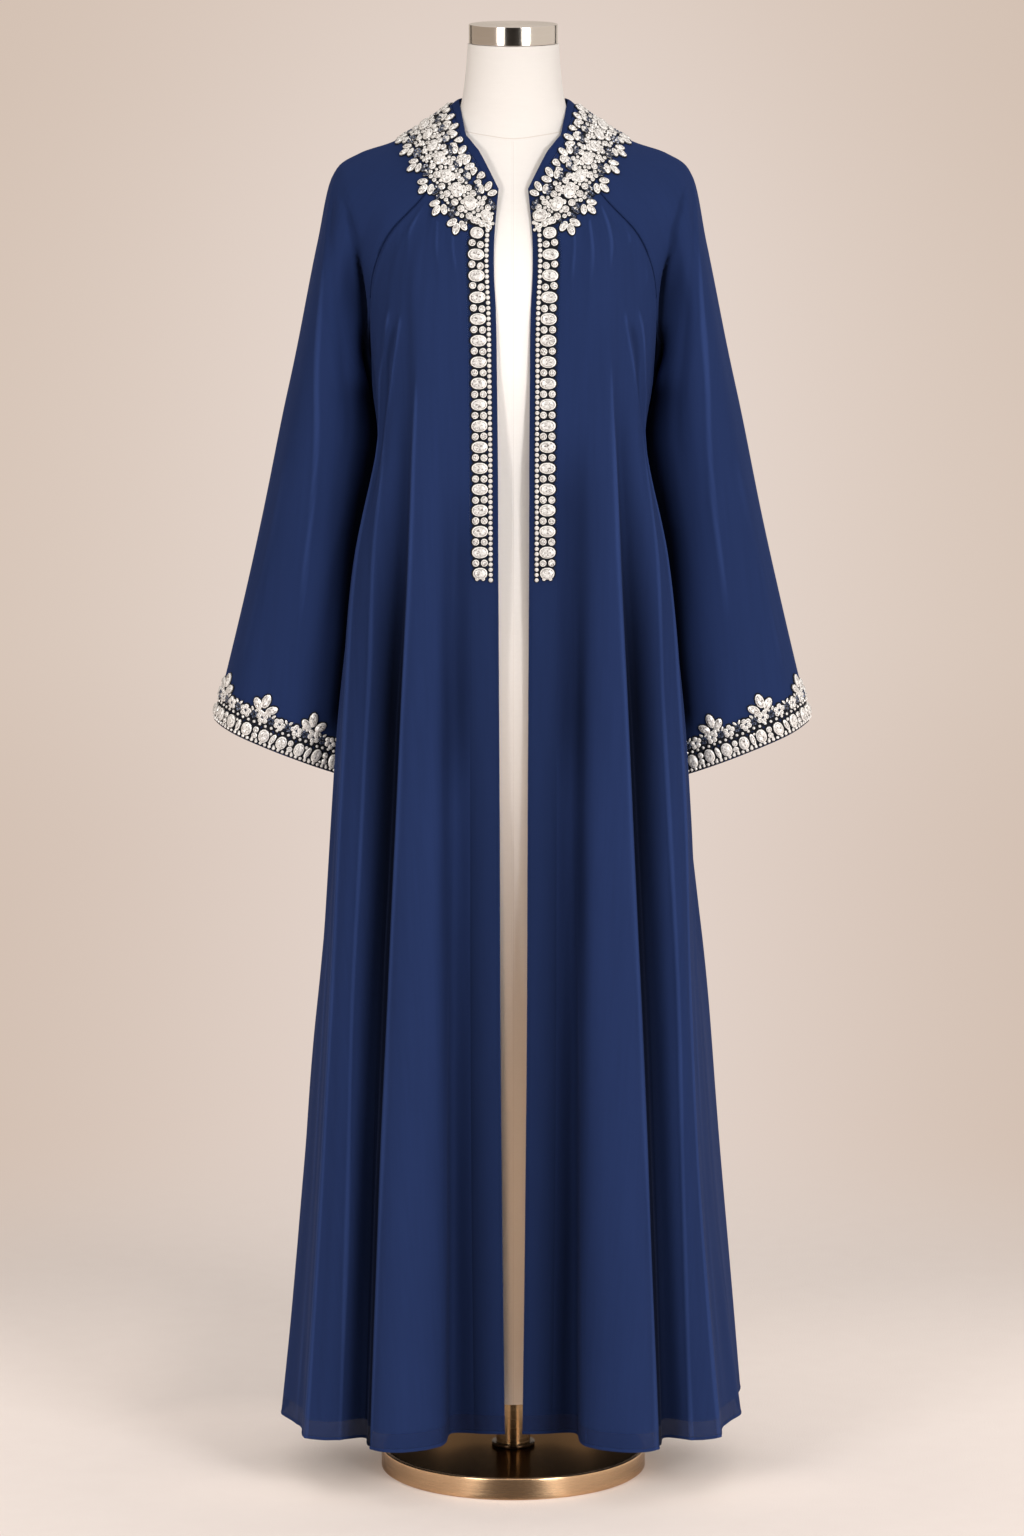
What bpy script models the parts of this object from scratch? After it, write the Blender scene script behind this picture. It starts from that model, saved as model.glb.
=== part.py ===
"""An abaya cloak worn by a limbless dress form on a pole and a round base.

Frame: metres, +Z up, the origin under the middle of the base.  The cloak's open
front faces -Y.  "left" is -X and "right" is +X, as seen from the front.

The cloak is cut as two fronts with a band down each open edge, one back and two
raglan sleeves, with a strip round the neckline, a lining inside the body, and
jewelled trims laid on the neck, the front bands and the cuffs.  Every panel is a
smooth surface through a short table of folds, sampled into a thin closed wall.
"""
import math

import bpy
import numpy as np

# ---------------------------------------------------------------- named sizes (mm)
HEM_Z = 65.0            # height of the hem over the floor
NECK_BAND = 10.0        # width of the plain strip round the neckline
COLLAR_REACH = 90.0     # neckline to the outer edge of the collar trim
FRONT_BAND = 33.0       # width of the strip down each front edge
TRIM_INSET = 5.5        # plain edge left free beside the front trim
TRIM_FOOT_Z = 1001.0    # lower end of the front trims
CUFF_TRIM = 30.0        # height of the cuff trims
CLOTH = 1.2             # wall of the outer cloth
LINING = 1.0            # wall of the lining
LINING_GAP = 0.45       # clear space between cloth and lining
LINING_UP = 22.0        # the lining ends this far above the hem
SEAM = 0.36             # gap between two pieces at a seam
TRIM_CLEAR = 0.45       # clear space under a trim
TRIM_WALL = 1.3         # wall of a trim's backing

# ---------------------------------------------------------------- tables (mm)
# Heights of the rows.  Rows k0..k5 run round the neck and shoulders (k0 the
# neckline, k1 the collar trim's edge, k5 the underarm); the rest are level.
ROWS = ("k0", "k1", "k2", "k3", "k4", "k5", "chest", "waist", "hip", "thigh", "knee", "calf", "hem")
EDGE_Z = (1409, 1345, 1318, 1292, 1256, 1205, 1140, 1020, 860, 740, 560, 320, 65)

# The raglan seam on the front: distance out, depth, height at rows k0..k5.
RAGLAN_FRONT = {
    "out": (50, 98, 131, 146.5, 152, 149),
    "y": (-42, -73, -71, -62, -52, -2),
    "z": (1463, 1397, 1361, 1326, 1275, 1205),
}
# The same seam on the back.
RAGLAN_BACK = {
    "out": (46, 98, 132, 147, 153, 149),
    "y": (46, 64, 70, 67, 54, -2),
    "z": (1494, 1424, 1379, 1338, 1278, 1205),
}
# One row for each fold of a front, from the open edge to the side seam.
# "out" and "y" hold a value for each of ROWS.
FRONT_FOLDS = (
    # name,        out at k0 .. hem,                                                        depth at k0 .. hem
    ("edge",      (15.4, 20.3, 20.0, 18.6, 17.6, 17.0, 16.3, 15.8, 15.0, 14.4, 13.9, 12.0, 9.0),
                  (-75, -99, -106, -111, -114, -116, -117, -118, -118, -117, -116, -114, -111)),
    ("band seam", (27.5, 50, 49.5, 48.5, 47.5, 46.8, 46.4, 46.2, 46.0, 46.0, 46.0, 45.0, 42.5),
                  (-66, -100, -108, -113, -116, -117.5, -118, -118, -117, -115, -113, -111, -108)),
    ("recess",    (32, 60, 62, 62, 61.5, 61, 60.5, 61, 62, 62.5, 63.5, 65, 66.5),
                  (-62.5, -98, -108, -114, -117, -118, -118, -117, -115, -113, -111, -109, -107)),
    ("inner",     (36, 69, 74, 76, 76, 75.5, 75, 75, 75.5, 75.5, 75, 73.5, 73),
                  (-59, -95, -106.5, -114, -118, -119.5, -120.5, -123, -127, -130, -136, -142, -148)),
    ("main",      (39, 77, 86, 89, 90, 90, 90.5, 93, 97, 99, 104, 110, 116),
                  (-56, -91, -103, -112, -117, -120, -122, -127, -135, -141, -152, -168, -184)),
    ("crest c",   (41.5, 84, 97, 101, 101, 102, 105, 110, 118.5, 124, 132.5, 143, 153),
                  (-53, -86, -98, -108, -115, -118, -119, -122, -128, -132, -140, -154, -171)),
    ("valley 1",  (43.5, 88.5, 106, 112, 112, 112, 112, 118, 127, 133.5, 143, 152, 160),
                  (-51, -82, -92, -100, -106, -107, -107, -107, -107, -108, -110, -118, -128)),
    ("soft d",    (45.5, 92, 114, 122, 124, 126, 130, 144, 154.5, 161, 171, 178, 187),
                  (-48, -79, -86, -91, -97, -97, -99, -103, -106, -108, -114, -123, -134)),
    ("crest b",   (47.5, 95, 122, 133, 137, 137, 142.5, 167, 181.5, 188, 196.5, 210, 226),
                  (-45.5, -76, -79, -79, -82, -80, -72, -74, -82, -87, -96, -107, -122)),
    ("valley 2",  (48.7, 96.5, 127, 141, 146.5, 146, 144.5, 167.5, 183, 190, 200, 214, 230),
                  (-44, -74.5, -75, -70, -67, -52, -50, -58, -66, -69, -74, -78, -84)),
    ("side",      (49.4, 97.3, 129.3, 144.3, 150.3, 150, 143, 163.5, 184.5, 195, 208.5, 226.5, 252),
                  (-43, -73.8, -73, -66, -59, -27, -26, -38, -45, -46, -42, -38, -33)),
    ("side seam", (50, 98, 131, 146.5, 152, 149, 138, 147, 148, 160, 204, 228, 247),
                  (-42, -73, -71, -62, -52, -2, 0, 2, 4, 6, 6, 6, 7)),
)
# Down the right side the outer folds hang this much closer in, row by row.
RIGHT_SIDE_IN = (0, 0, 0, 0, 0, 0, 1.5, 1.0, 0, 0, 4.0, 5.5, 0)
# How far each fold of the right front lies further out than the left one.
RIGHT_FRONT_SHIFT = {
    "edge": 0.8, "crest c": 2.0, "valley 1": 2.5, "soft d": 5.0, "crest b": -3.0, "valley 2": -3.0, "side": -4.5, "side seam": -1.5,
}
# One row for each fold of half the back, from the side seam to the centre.
BACK_FOLDS = (
    ("side seam", (46, 98, 132, 147, 153, 149, 138, 147, 148, 160, 204, 228, 247),
                  (46, 64, 70, 67, 54, -2, 0, 2, 4, 6, 6, 6, 7)),
    ("crest 5",   (41, 88, 117, 131, 137, 141, 141, 155, 171, 182, 196, 214, 234),
                  (48.5, 71, 79, 82, 78, 60, 66, 74, 86, 90, 88, 92, 96)),
    ("valley 4",  (35, 74, 98, 110, 115, 118, 118, 122, 128, 132, 138, 149, 160),
                  (51, 78, 88, 93, 94, 90, 88, 87, 89, 90, 93, 98, 104)),
    ("crest 3",   (28, 58, 76, 86, 90, 92, 94, 98, 102, 105, 110, 120, 131),
                  (53.5, 84, 95, 100, 103, 104, 106, 110, 118, 125, 137, 156, 178)),
    ("rise 3",    (24, 50, 65, 74, 77, 78, 79, 82, 85, 88, 91, 97, 104),
                  (54.7, 86, 97, 102, 104, 104.7, 105.5, 108, 114, 119.5, 129, 145, 165)),
    ("valley 2",  (19, 40, 52, 60, 62, 62, 62, 64, 66, 68, 70, 74, 79),
                  (56, 89, 99, 104, 105, 104, 103.5, 103, 103, 103, 104, 106, 108)),
    ("crest 1",   (10, 20, 28, 32, 34, 34, 34, 35, 36, 37, 38, 40, 43),
                  (57.5, 91.5, 101, 105.5, 107.5, 108, 109, 111, 114, 117, 123, 133, 145)),
    ("centre",    (0, 0, 0, 0, 0, 0, 0, 0, 0, 0, 0, 0, 0),
                  (58, 92, 101, 105, 107, 107, 107, 108, 109, 110, 112, 116, 120)),
)
BACK_CENTRE_Z = (1500, 1412, 1372, 1334, 1276, 1205, 1140, 1020, 860, 740, 560, 320, 65)
# The right sleeve hangs this much closer in than the left one, from the tip down.
RIGHT_SLEEVE_IN = 2.6
RIGHT_BACK_SHIFT = {"crest 5": 3.0, "valley 4": 5.0, "crest 3": 6.0, "valley 2": 3.0, "crest 1": 2.0}

# Sleeve rows: k0..k5 shared with the raglan seams, then four rings of the tube.
# The ridge is the shoulder line and, below the tip, the outer edge of the sleeve.
SLEEVE_ROWS = ("k0", "k1", "k2", "k3", "k4", "k5", "upper", "elbow", "fore", "cuff")
SLEEVE_RIDGE = {
    "out": (58.5, 128, 164, 189.5, 208.5, 229.5, 246, 270, 296, 322),
    "y": (8, 8, 8, 7, 7, 9, 11, 14, 18, 21),
    "z": (1496, 1451, 1438.5, 1420, 1344, 1240, 1163, 1047, 934, 826),
}
SLEEVE_INNER = {       # the underarm seam of the tube, rows k5..cuff
    "out": (152.5, 145.5, 156, 163, 169),
    "y": (-2, 4, 8, 12, 16),
    "z": (1204, 1120, 1000, 882, 765),
}
# Depth of the sleeve's front at shares of the way from seam to ridge, then of
# its back from ridge to seam.
SLEEVE_SHARES = (0.035, 0.13, 0.32, 0.58, 0.82, 0.955)
SLEEVE_FRONT_Y = (
    ("k0", (-41, -38.5, -32, -21, -9, 2)),
    ("k1", (-72, -69.5, -61, -43, -20, -2)),
    ("k2", (-70.5, -69, -62, -46, -22, -3)),
    ("k3", (-61, -58, -53, -46, -28, -7)),
    ("k4", (-47.5, -39.5, -38, -48, -42, -17)),
    ("k5", (-16, -27, -42, -54, -45, -17)),
    ("upper", (-12, -27, -41, -51, -42, -15)),
    ("elbow", (-10, -27, -39, -46, -37, -10)),
    ("fore", (-7, -23, -34, -39, -31, -5)),
    ("cuff", (-4, -18, -29, -33, -26, -2)),
)
SLEEVE_BACK_Y = (
    ("k0", (46.5, 45, 42, 36, 27, 17)),
    ("k1", (64, 62.5, 59, 50, 34, 19)),
    ("k2", (70.5, 70, 66, 56, 38, 20)),
    ("k3", (67.5, 67, 65, 58, 43, 23)),
    ("k4", (52, 50, 53, 60, 52, 27)),
    ("k5", (14, 30, 49, 62, 54, 30)),
    ("upper", (18, 36, 52, 61, 53, 31)),
    ("elbow", (24, 42, 55, 60, 53, 34)),
    ("fore", (29, 46, 57, 61, 54, 37)),
    ("cuff", (33, 50, 61, 64, 57, 40)),
)

# ---------------------------------------------------------------- curves
def pchip(knots, values, at):
    """Values through knots, smooth and without overshoot; values may be an array of any shape."""
    k = np.asarray(knots, float)
    v = np.asarray(values, float)
    shape = v.shape[1:]
    v = v.reshape(len(k), -1)
    h = np.diff(k)[:, None]
    d = np.diff(v, axis=0) / h
    m = np.zeros_like(v)
    same = d[:-1] * d[1:] > 0
    w1 = 2 * h[1:] + h[:-1]
    w2 = h[1:] + 2 * h[:-1]
    safe0 = np.where(same, d[:-1], 1.0)
    safe1 = np.where(same, d[1:], 1.0)
    m[1:-1] = np.where(same, (w1 + w2) / (w1 / safe0 + w2 / safe1), 0.0)
    m[0] = d[0]
    m[-1] = d[-1]
    t = np.asarray(at, float).ravel()
    i = np.clip(np.searchsorted(k, t, side="right") - 1, 0, len(k) - 2)
    hh = (k[i + 1] - k[i])[:, None]
    s = ((t - k[i])[:, None]) / hh
    r = ((2 * s**3 - 3 * s**2 + 1) * v[i] + (s**3 - 2 * s**2 + s) * hh * m[i]
         + (3 * s**2 - 2 * s**3) * v[i + 1] + (s**3 - s**2) * hh * m[i + 1])
    return r.reshape((len(t),) + shape)


def soft(knots, values, at):
    """A rounder curve through knots than pchip: Catmull-Rom slopes on uneven knots."""
    k = np.asarray(knots, float)
    v = np.asarray(values, float)
    shape = v.shape[1:]
    v = v.reshape(len(k), -1)
    h = np.diff(k)[:, None]
    d = np.diff(v, axis=0) / h
    m = np.empty_like(v)
    m[1:-1] = (d[:-1] * h[1:] + d[1:] * h[:-1]) / (h[1:] + h[:-1])
    m[0] = 1.5 * d[0] - 0.5 * m[1]
    m[-1] = 1.5 * d[-1] - 0.5 * m[-2]
    t = np.asarray(at, float).ravel()
    i = np.clip(np.searchsorted(k, t, side="right") - 1, 0, len(k) - 2)
    hh = (k[i + 1] - k[i])[:, None]
    s = ((t - k[i])[:, None]) / hh
    r = ((2 * s**3 - 3 * s**2 + 1) * v[i] + (s**3 - 2 * s**2 + s) * hh * m[i]
         + (3 * s**2 - 2 * s**3) * v[i + 1] + (s**3 - s**2) * hh * m[i + 1])
    return r.reshape((len(t),) + shape)


class Sheet:
    """A smooth surface through a net of points: rows down, folds across.
    ends holds the slopes across the first and last fold, a vector for each row."""

    def __init__(self, row_knots, fold_knots, net, first=None, last=None):
        self.rk = np.asarray(row_knots, float)
        self.fk = np.asarray(fold_knots, float)
        self.net = np.asarray(net, float)
        n = len(self.fk)
        h = np.diff(self.fk)
        a = np.zeros((n, n))
        b = np.zeros((n, n + 2))
        for i in range(1, n - 1):
            a[i, i - 1], a[i, i], a[i, i + 1] = h[i - 1], 2 * (h[i - 1] + h[i]), h[i]
            b[i, i - 1] += 6 / h[i - 1]
            b[i, i] -= 6 / h[i - 1] + 6 / h[i]
            b[i, i + 1] += 6 / h[i]
        if first is None:
            a[0, 0] = 1
        else:
            a[0, 0], a[0, 1] = 2 * h[0], h[0]
            b[0, 0], b[0, 1], b[0, n] = -6 / h[0], 6 / h[0], -6
        if last is None:
            a[-1, -1] = 1
        else:
            a[-1, -1], a[-1, -2] = 2 * h[-1], h[-1]
            b[-1, -1], b[-1, -2], b[-1, n + 1] = -6 / h[-1], 6 / h[-1], 6
        self.solve = np.linalg.solve(a, b)
        zero = np.zeros((len(self.rk), 3))
        self.ends = np.stack([zero if first is None else first, zero if last is None else last], axis=1)

    def rows(self, v):
        """Control points and end slopes of the rows at v."""
        c = soft(self.rk, self.net, v) if self.net.shape[0] > 2 else pchip(self.rk, self.net, v)
        e = pchip(self.rk, self.ends, v)
        return c, e

    def grid(self, u, v):
        """Points at every u of every v: array (v, u, 3)."""
        c, e = self.rows(v)
        full = np.concatenate([c, e], axis=1)
        m = np.einsum("ij,rjk->rik", self.solve, full)
        u = np.asarray(u, float).ravel()
        i = np.clip(np.searchsorted(self.fk, u, side="right") - 1, 0, len(self.fk) - 2)
        h = self.fk[i + 1] - self.fk[i]
        A = ((self.fk[i + 1] - u) / h)[None, :, None]
        B = 1 - A
        hh = h[None, :, None] ** 2 / 6
        return A * c[:, i] + B * c[:, i + 1] + ((A**3 - A) * m[:, i] + (B**3 - B) * m[:, i + 1]) * hh

    def frame(self, u, v, side):
        """Points and outward normals; side is +1 where (across x down) points out, else -1."""
        u = np.asarray(u, float)
        v = np.asarray(v, float)
        du = 2e-3 * (self.fk[-1] - self.fk[0])
        dv = 2e-3 * (self.rk[-1] - self.rk[0]) / len(self.rk)
        u0, u1 = np.clip(u - du, self.fk[0], self.fk[-1]), np.clip(u + du, self.fk[0], self.fk[-1])
        v0, v1 = np.clip(v - dv, self.rk[0], self.rk[-1]), np.clip(v + dv, self.rk[0], self.rk[-1])
        p = self.grid(u, v)
        across = self.grid(u1, v) - self.grid(u0, v)
        down = self.grid(u, v1) - self.grid(u, v0)
        n = np.cross(across, down) * side
        n /= np.linalg.norm(n, axis=2, keepdims=True)
        return p, n


def chord(net, rows):
    """Fold knots from the mean spacing of the folds on the given rows."""
    d = np.linalg.norm(np.diff(net[rows], axis=1), axis=2).mean(axis=0)
    return np.concatenate([[0.0], np.cumsum(d)])


# ---------------------------------------------------------------- the nets
ROW_KNOTS = np.array([0.0, 90, 130, 165, 215, 272, 338, 458, 618, 738, 918, 1158, 1413])
CUFF_KNOTS = np.array([0.0, 90, 130, 165, 215, 272, 354, 474, 590, 706])
UNDERARM = 5            # row of the underarm


def front_net(side):
    """(rows, folds, 3) for one front; side is -1 for the left, +1 for the right."""
    net = np.zeros((len(ROWS), len(FRONT_FOLDS), 3))
    for j, (name, out, depth) in enumerate(FRONT_FOLDS):
        shift = RIGHT_FRONT_SHIFT.get(name, 0.0) if side > 0 else 0.0
        grow = np.clip((np.arange(len(ROWS)) - 4) / 3.0, 0, 1)
        nearer = np.array(RIGHT_SIDE_IN) if side > 0 and name in ("crest b", "valley 2", "side", "side seam") else 0.0
        net[:, j, 0] = side * (np.array(out) + shift * grow - nearer)
        net[:, j, 1] = depth
    # heights: the neckline and the collar's edge have their own curves, the rest slope evenly
    for r in range(len(ROWS)):
        o = np.abs(net[r, :, 0])
        s = (o - o[0]) / (o[-1] - o[0])
        if r == 0:
            z = np.interp(s, (0, 0.28, 0.57, 0.86, 1.0), (1409, 1428, 1446.5, 1458, 1463))
        elif r == 1:
            z = np.interp(s, (0, 0.25, 0.47, 0.72, 0.94, 1.0), (1345, 1347, 1354, 1370, 1389, 1397))
        elif r <= UNDERARM:
            z = EDGE_Z[r] + (RAGLAN_FRONT["z"][r] - EDGE_Z[r]) * s**1.5
        else:
            z = np.full(len(o), float(EDGE_Z[r]))
        net[r, :, 2] = z
    return net


def back_net():
    """(rows, folds, 3) from the left side seam over the centre to the right one."""
    half = len(BACK_FOLDS)
    net = np.zeros((len(ROWS), 2 * half - 1, 3))
    for j, (name, out, depth) in enumerate(BACK_FOLDS):
        grow = np.clip((np.arange(len(ROWS)) - 4) / 3.0, 0, 1)
        net[:, j, 0] = -np.array(out, float)
        net[:, j, 1] = depth
        k = 2 * half - 2 - j
        nearer = np.array(RIGHT_SIDE_IN) + 1.5 * grow if name == "side seam" else 0.0
        net[:, k, 0] = np.array(out) + RIGHT_BACK_SHIFT.get(name, 0.0) * grow - nearer
        net[:, k, 1] = depth
    for r in range(len(ROWS)):
        o = np.abs(net[r, :, 0])
        s = o / o[0]
        z = RAGLAN_BACK["z"][r] if r <= UNDERARM else EDGE_Z[r]
        net[r, :, 2] = BACK_CENTRE_Z[r] + (z - BACK_CENTRE_Z[r]) * s**2
    return net


def sleeve_net(side):
    """(rows, folds, 3) from the front seam over the ridge to the back seam."""
    count = len(SLEEVE_SHARES)
    net = np.zeros((len(SLEEVE_ROWS), 2 * count + 3, 3))
    for r in range(len(SLEEVE_ROWS)):
        nearer = RIGHT_SLEEVE_IN * min(1.0, max(0, r - 2) / 2) if side > 0 else 0.0
        ridge = np.array([side * (SLEEVE_RIDGE["out"][r] - nearer), SLEEVE_RIDGE["y"][r], SLEEVE_RIDGE["z"][r]])
        if r < UNDERARM:
            a = np.array([side * RAGLAN_FRONT["out"][r], RAGLAN_FRONT["y"][r], RAGLAN_FRONT["z"][r]])
            b = np.array([side * RAGLAN_BACK["out"][r], RAGLAN_BACK["y"][r], RAGLAN_BACK["z"][r]])
        else:
            q = r - UNDERARM
            a = np.array([side * SLEEVE_INNER["out"][q], SLEEVE_INNER["y"][q], SLEEVE_INNER["z"][q]])
            b = a.copy()
            if r == UNDERARM:
                a = np.array([side * RAGLAN_FRONT["out"][r], RAGLAN_FRONT["y"][r], RAGLAN_FRONT["z"][r]])
                b = a.copy()
        net[r, 0] = a
        net[r, count + 1] = ridge
        net[r, -1] = b
        for j, share in enumerate(SLEEVE_SHARES):
            p = a + (ridge - a) * share
            p[1] = SLEEVE_FRONT_Y[r][1][j]
            net[r, 1 + j] = p
            p = b + (ridge - b) * share
            p[1] = SLEEVE_BACK_Y[r][1][j]
            net[r, -2 - j] = p
    return net


def make_sheets():
    """All outer panels as smooth surfaces: front and sleeve by side, and the back."""
    fronts = {s: front_net(s) for s in (-1, 1)}
    back = back_net()
    sleeves = {s: sleeve_net(s) for s in (-1, 1)}
    fk = {s: chord(fronts[s], slice(5, 13)) for s in fronts}
    bk = chord(back, slice(5, 13))
    sk = {s: chord(sleeves[s], slice(4, 9)) for s in sleeves}

    def slope(p, q, hp, hq, r_p, r_q):
        return (q[r_q] - p[r_p]) / (hp + hq)

    out = {}
    back_ends = {}
    for s in (-1, 1):
        f, sl = fronts[s], sleeves[s]
        hf = fk[s][-1] - fk[s][-2]
        hs0 = sk[s][1] - sk[s][0]
        hs1 = sk[s][-1] - sk[s][-2]
        # the back net runs left to right: its first fold is the left side seam
        b = back if s < 0 else back[:, ::-1]
        hb = (bk[1] - bk[0]) if s < 0 else (bk[-1] - bk[-2])
        n = len(ROWS)
        front_last = np.zeros((n, 3))
        back_end = np.zeros((n, 3))
        for r in range(n):
            if r < UNDERARM:
                front_last[r] = (sl[r, 1] - f[r, -2]) / (hf + hs0)
                back_end[r] = (sl[r, -2] - b[r, 1]) / (hb + hs1)
            else:
                front_last[r] = (b[r, 1] - f[r, -2]) / (hf + hb)
                back_end[r] = -front_last[r]
        m = len(SLEEVE_ROWS)
        sleeve_first = np.zeros((m, 3))
        sleeve_last = np.zeros((m, 3))
        for r in range(m):
            if r < UNDERARM:
                sleeve_first[r] = front_last[r]
                sleeve_last[r] = -back_end[r]
            else:
                t = (sl[r, 1] - sl[r, -2]) / (hs0 + hs1)
                sleeve_first[r] = t
                sleeve_last[r] = t
        out["front", s] = Sheet(ROW_KNOTS, fk[s], f, None, front_last)
        out["sleeve", s] = Sheet(CUFF_KNOTS, sk[s], sl, sleeve_first, sleeve_last)
        back_ends[s] = back_end
    out["back"] = Sheet(ROW_KNOTS, bk, back, -back_ends[-1], back_ends[1])
    return out


# ---------------------------------------------------------------- sampling of the solids
V_NECK = NECK_BAND                       # the panels start under the neck band
V_HEM = ROW_KNOTS[-1]
V_LINING = V_HEM - LINING_UP
V_COLLAR = 90.0
V_TRIM_FOOT = 477.0                      # the row at TRIM_FOOT_Z
BODY_V = np.array([V_NECK, 50, V_COLLAR, 130, 165, 215, 272, 338, 398, V_TRIM_FOOT, 545, 618, 738, 918, 1158, V_LINING, V_HEM])
SLEEVE_V = np.array([V_NECK, 50, V_COLLAR, 130, 165, 215, 272, 354, 474, 590, CUFF_KNOTS[-1] - CUFF_TRIM, CUFF_KNOTS[-1]])
U_ROW = 6                                # index of the underarm row in both


def between(knots, shares):
    """Samples inside each span of the knots: shares says how many parts each span has."""
    out = [knots[0]]
    for a, b, n in zip(knots[:-1], knots[1:], shares):
        out += [a + (b - a) * (k + 1) / n for k in range(n)]
    return np.array(out)


def triangles(rows, cols, flip, offset=0, turned_from=None):
    """Two triangles for each cell; from the column turned_from on they share the other diagonal."""
    idx = np.arange(rows * cols).reshape(rows, cols) + offset
    t = []
    for cut, other in ((slice(0, turned_from), False), (slice(turned_from, None), True)):
        if turned_from is None and other:
            continue
        a, b, c, d = (q[:, cut].ravel() for q in (idx[:-1, :-1], idx[:-1, 1:], idx[1:, 1:], idx[1:, :-1]))
        if other:
            t += [np.stack([a, b, d], 1), np.stack([b, c, d], 1)]
        else:
            t += [np.stack([a, b, c], 1), np.stack([a, c, d], 1)]
    t = np.concatenate(t)
    return t[:, ::-1] if flip else t


def wall(outer, inner, side, turned_from=None):
    """A closed wall between two grids of points; side is +1 where (across x down) points out."""
    rows, cols = outer.shape[:2]
    n = rows * cols
    o = np.arange(n).reshape(rows, cols)
    i = o + n
    faces = [triangles(rows, cols, False, 0, turned_from), triangles(rows, cols, True, n, turned_from)]
    loop_o = np.concatenate([o[0, :-1], o[:-1, -1], o[-1, :0:-1], o[:0:-1, 0]])
    loop_i = np.concatenate([i[0, :-1], i[:-1, -1], i[-1, :0:-1], i[:0:-1, 0]])
    nxt_o, nxt_i = np.roll(loop_o, -1), np.roll(loop_i, -1)
    faces.append(np.stack([nxt_o, loop_o, loop_i], 1))
    faces.append(np.stack([nxt_o, loop_i, nxt_i], 1))
    f = np.concatenate(faces)
    if side < 0:
        f = f[:, ::-1]
    return np.concatenate([outer.reshape(-1, 3), inner.reshape(-1, 3)]), f


def unit(v):
    return v / np.linalg.norm(v, axis=-1, keepdims=True)


class Cloak:
    """The panels sampled on shared seams, with the normals of neighbours made one."""

    def __init__(self):
        self.sheets = make_sheets()
        self.p, self.n, self.side = {}, {}, {}
        self.u = {}
        for s in (-1, 1):
            sh = self.sheets["front", s]
            u = between(sh.fk, (2, 1, 1, 1, 1, 1, 1, 1, 1, 2, 2))
            # the plain inset beside the front trim is a column of its own
            u[1] = sh.fk[1] * TRIM_INSET / FRONT_BAND
            self.add(("front", s), sh, u, BODY_V, -s)
            sh = self.sheets["sleeve", s]
            u = between(sh.fk, (1, 1, 1, 1, 1, 1, 1, 1, 1, 1, 1, 1, 1, 1))
            self.add(("sleeve", s), sh, u, SLEEVE_V, -s)
        sh = self.sheets["back"]
        u = between(sh.fk, (2, 2, 1, 1, 1, 1, 2, 2, 1, 1, 1, 1, 2, 2))
        self.add("back", sh, u, BODY_V, 1)
        self.share_normals()

    def add(self, key, sheet, u, v, side):
        self.p[key], self.n[key] = sheet.frame(u, v, side)
        self.side[key] = side
        self.u[key] = u

    def share_normals(self):
        p, n = self.p, self.n
        for s in (-1, 1):
            b = 0 if s < 0 else -1
            f, sl, bk = n["front", s], n["sleeve", s], n["back"]
            for r in range(len(BODY_V)):
                if r < U_ROW:
                    m = unit(f[r, -1] + sl[r, 0]); f[r, -1] = m; sl[r, 0] = m
                    m = unit(bk[r, b] + sl[r, -1]); bk[r, b] = m; sl[r, -1] = m
                else:
                    m = unit(f[r, -1] + bk[r, b]); f[r, -1] = m; bk[r, b] = m
            for r in range(U_ROW, len(SLEEVE_V)):
                m = unit(sl[r, 0] + sl[r, -1]); sl[r, 0] = m; sl[r, -1] = m

    def piece(self, key, rows=slice(None), cols=slice(None), gaps=""):
        """Points and normals of part of a panel, drawn back half a seam on the named sides (t, b, l, r)."""
        p = self.p[key][rows, cols].copy()
        n = self.n[key][rows, cols]
        half = SEAM / 2
        q = p.copy()
        if "l" in gaps:
            q[:, 0] += half * unit(p[:, 1] - p[:, 0])
        if "r" in gaps:
            q[:, -1] -= half * unit(p[:, -1] - p[:, -2])
        if "t" in gaps:
            q[0] += half * unit(p[1] - p[0])
        if "b" in gaps:
            q[-1] -= half * unit(p[-1] - p[-2])
        return q, n


def mesh_object(name, verts, faces, material, smooth=True):
    me = bpy.data.meshes.new(name)
    me.from_pydata([tuple(v) for v in (np.asarray(verts) * 0.001)], [], [tuple(int(i) for i in f) for f in faces])
    me.update()
    ob = bpy.data.objects.new(name, me)
    bpy.context.scene.collection.objects.link(ob)
    me.materials.append(material)
    if smooth:
        me.shade_smooth()
        me.set_sharp_from_angle(angle=math.radians(50))
    return ob


def material(name, colour, roughness, metallic=0.0, sheen=0.0):
    m = bpy.data.materials.new(name)
    m.use_nodes = True
    bsdf = m.node_tree.nodes["Principled BSDF"]
    bsdf.inputs["Base Color"].default_value = (*colour, 1.0)
    bsdf.inputs["Roughness"].default_value = roughness
    bsdf.inputs["Metallic"].default_value = metallic
    bsdf.inputs["Sheen Weight"].default_value = sheen
    m.diffuse_color = (*colour, 1.0)
    return m


# ---------------------------------------------------------------- the dress form and its stand (mm)
CAP_TOP = 1575.0
CAP_HEIGHT = 20.0
CAP_RADIUS = 47.2
POLE_RADIUS = 18.6
FLANGE_RADIUS = 23.5
FLANGE_TOP = 30.0
BASE_RADIUS = 144.3
BASE_HEIGHT = 24.0
BASE_BEVEL = 1.6
TOUCH = 0.3            # clear space between pieces that rest on each other
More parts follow.
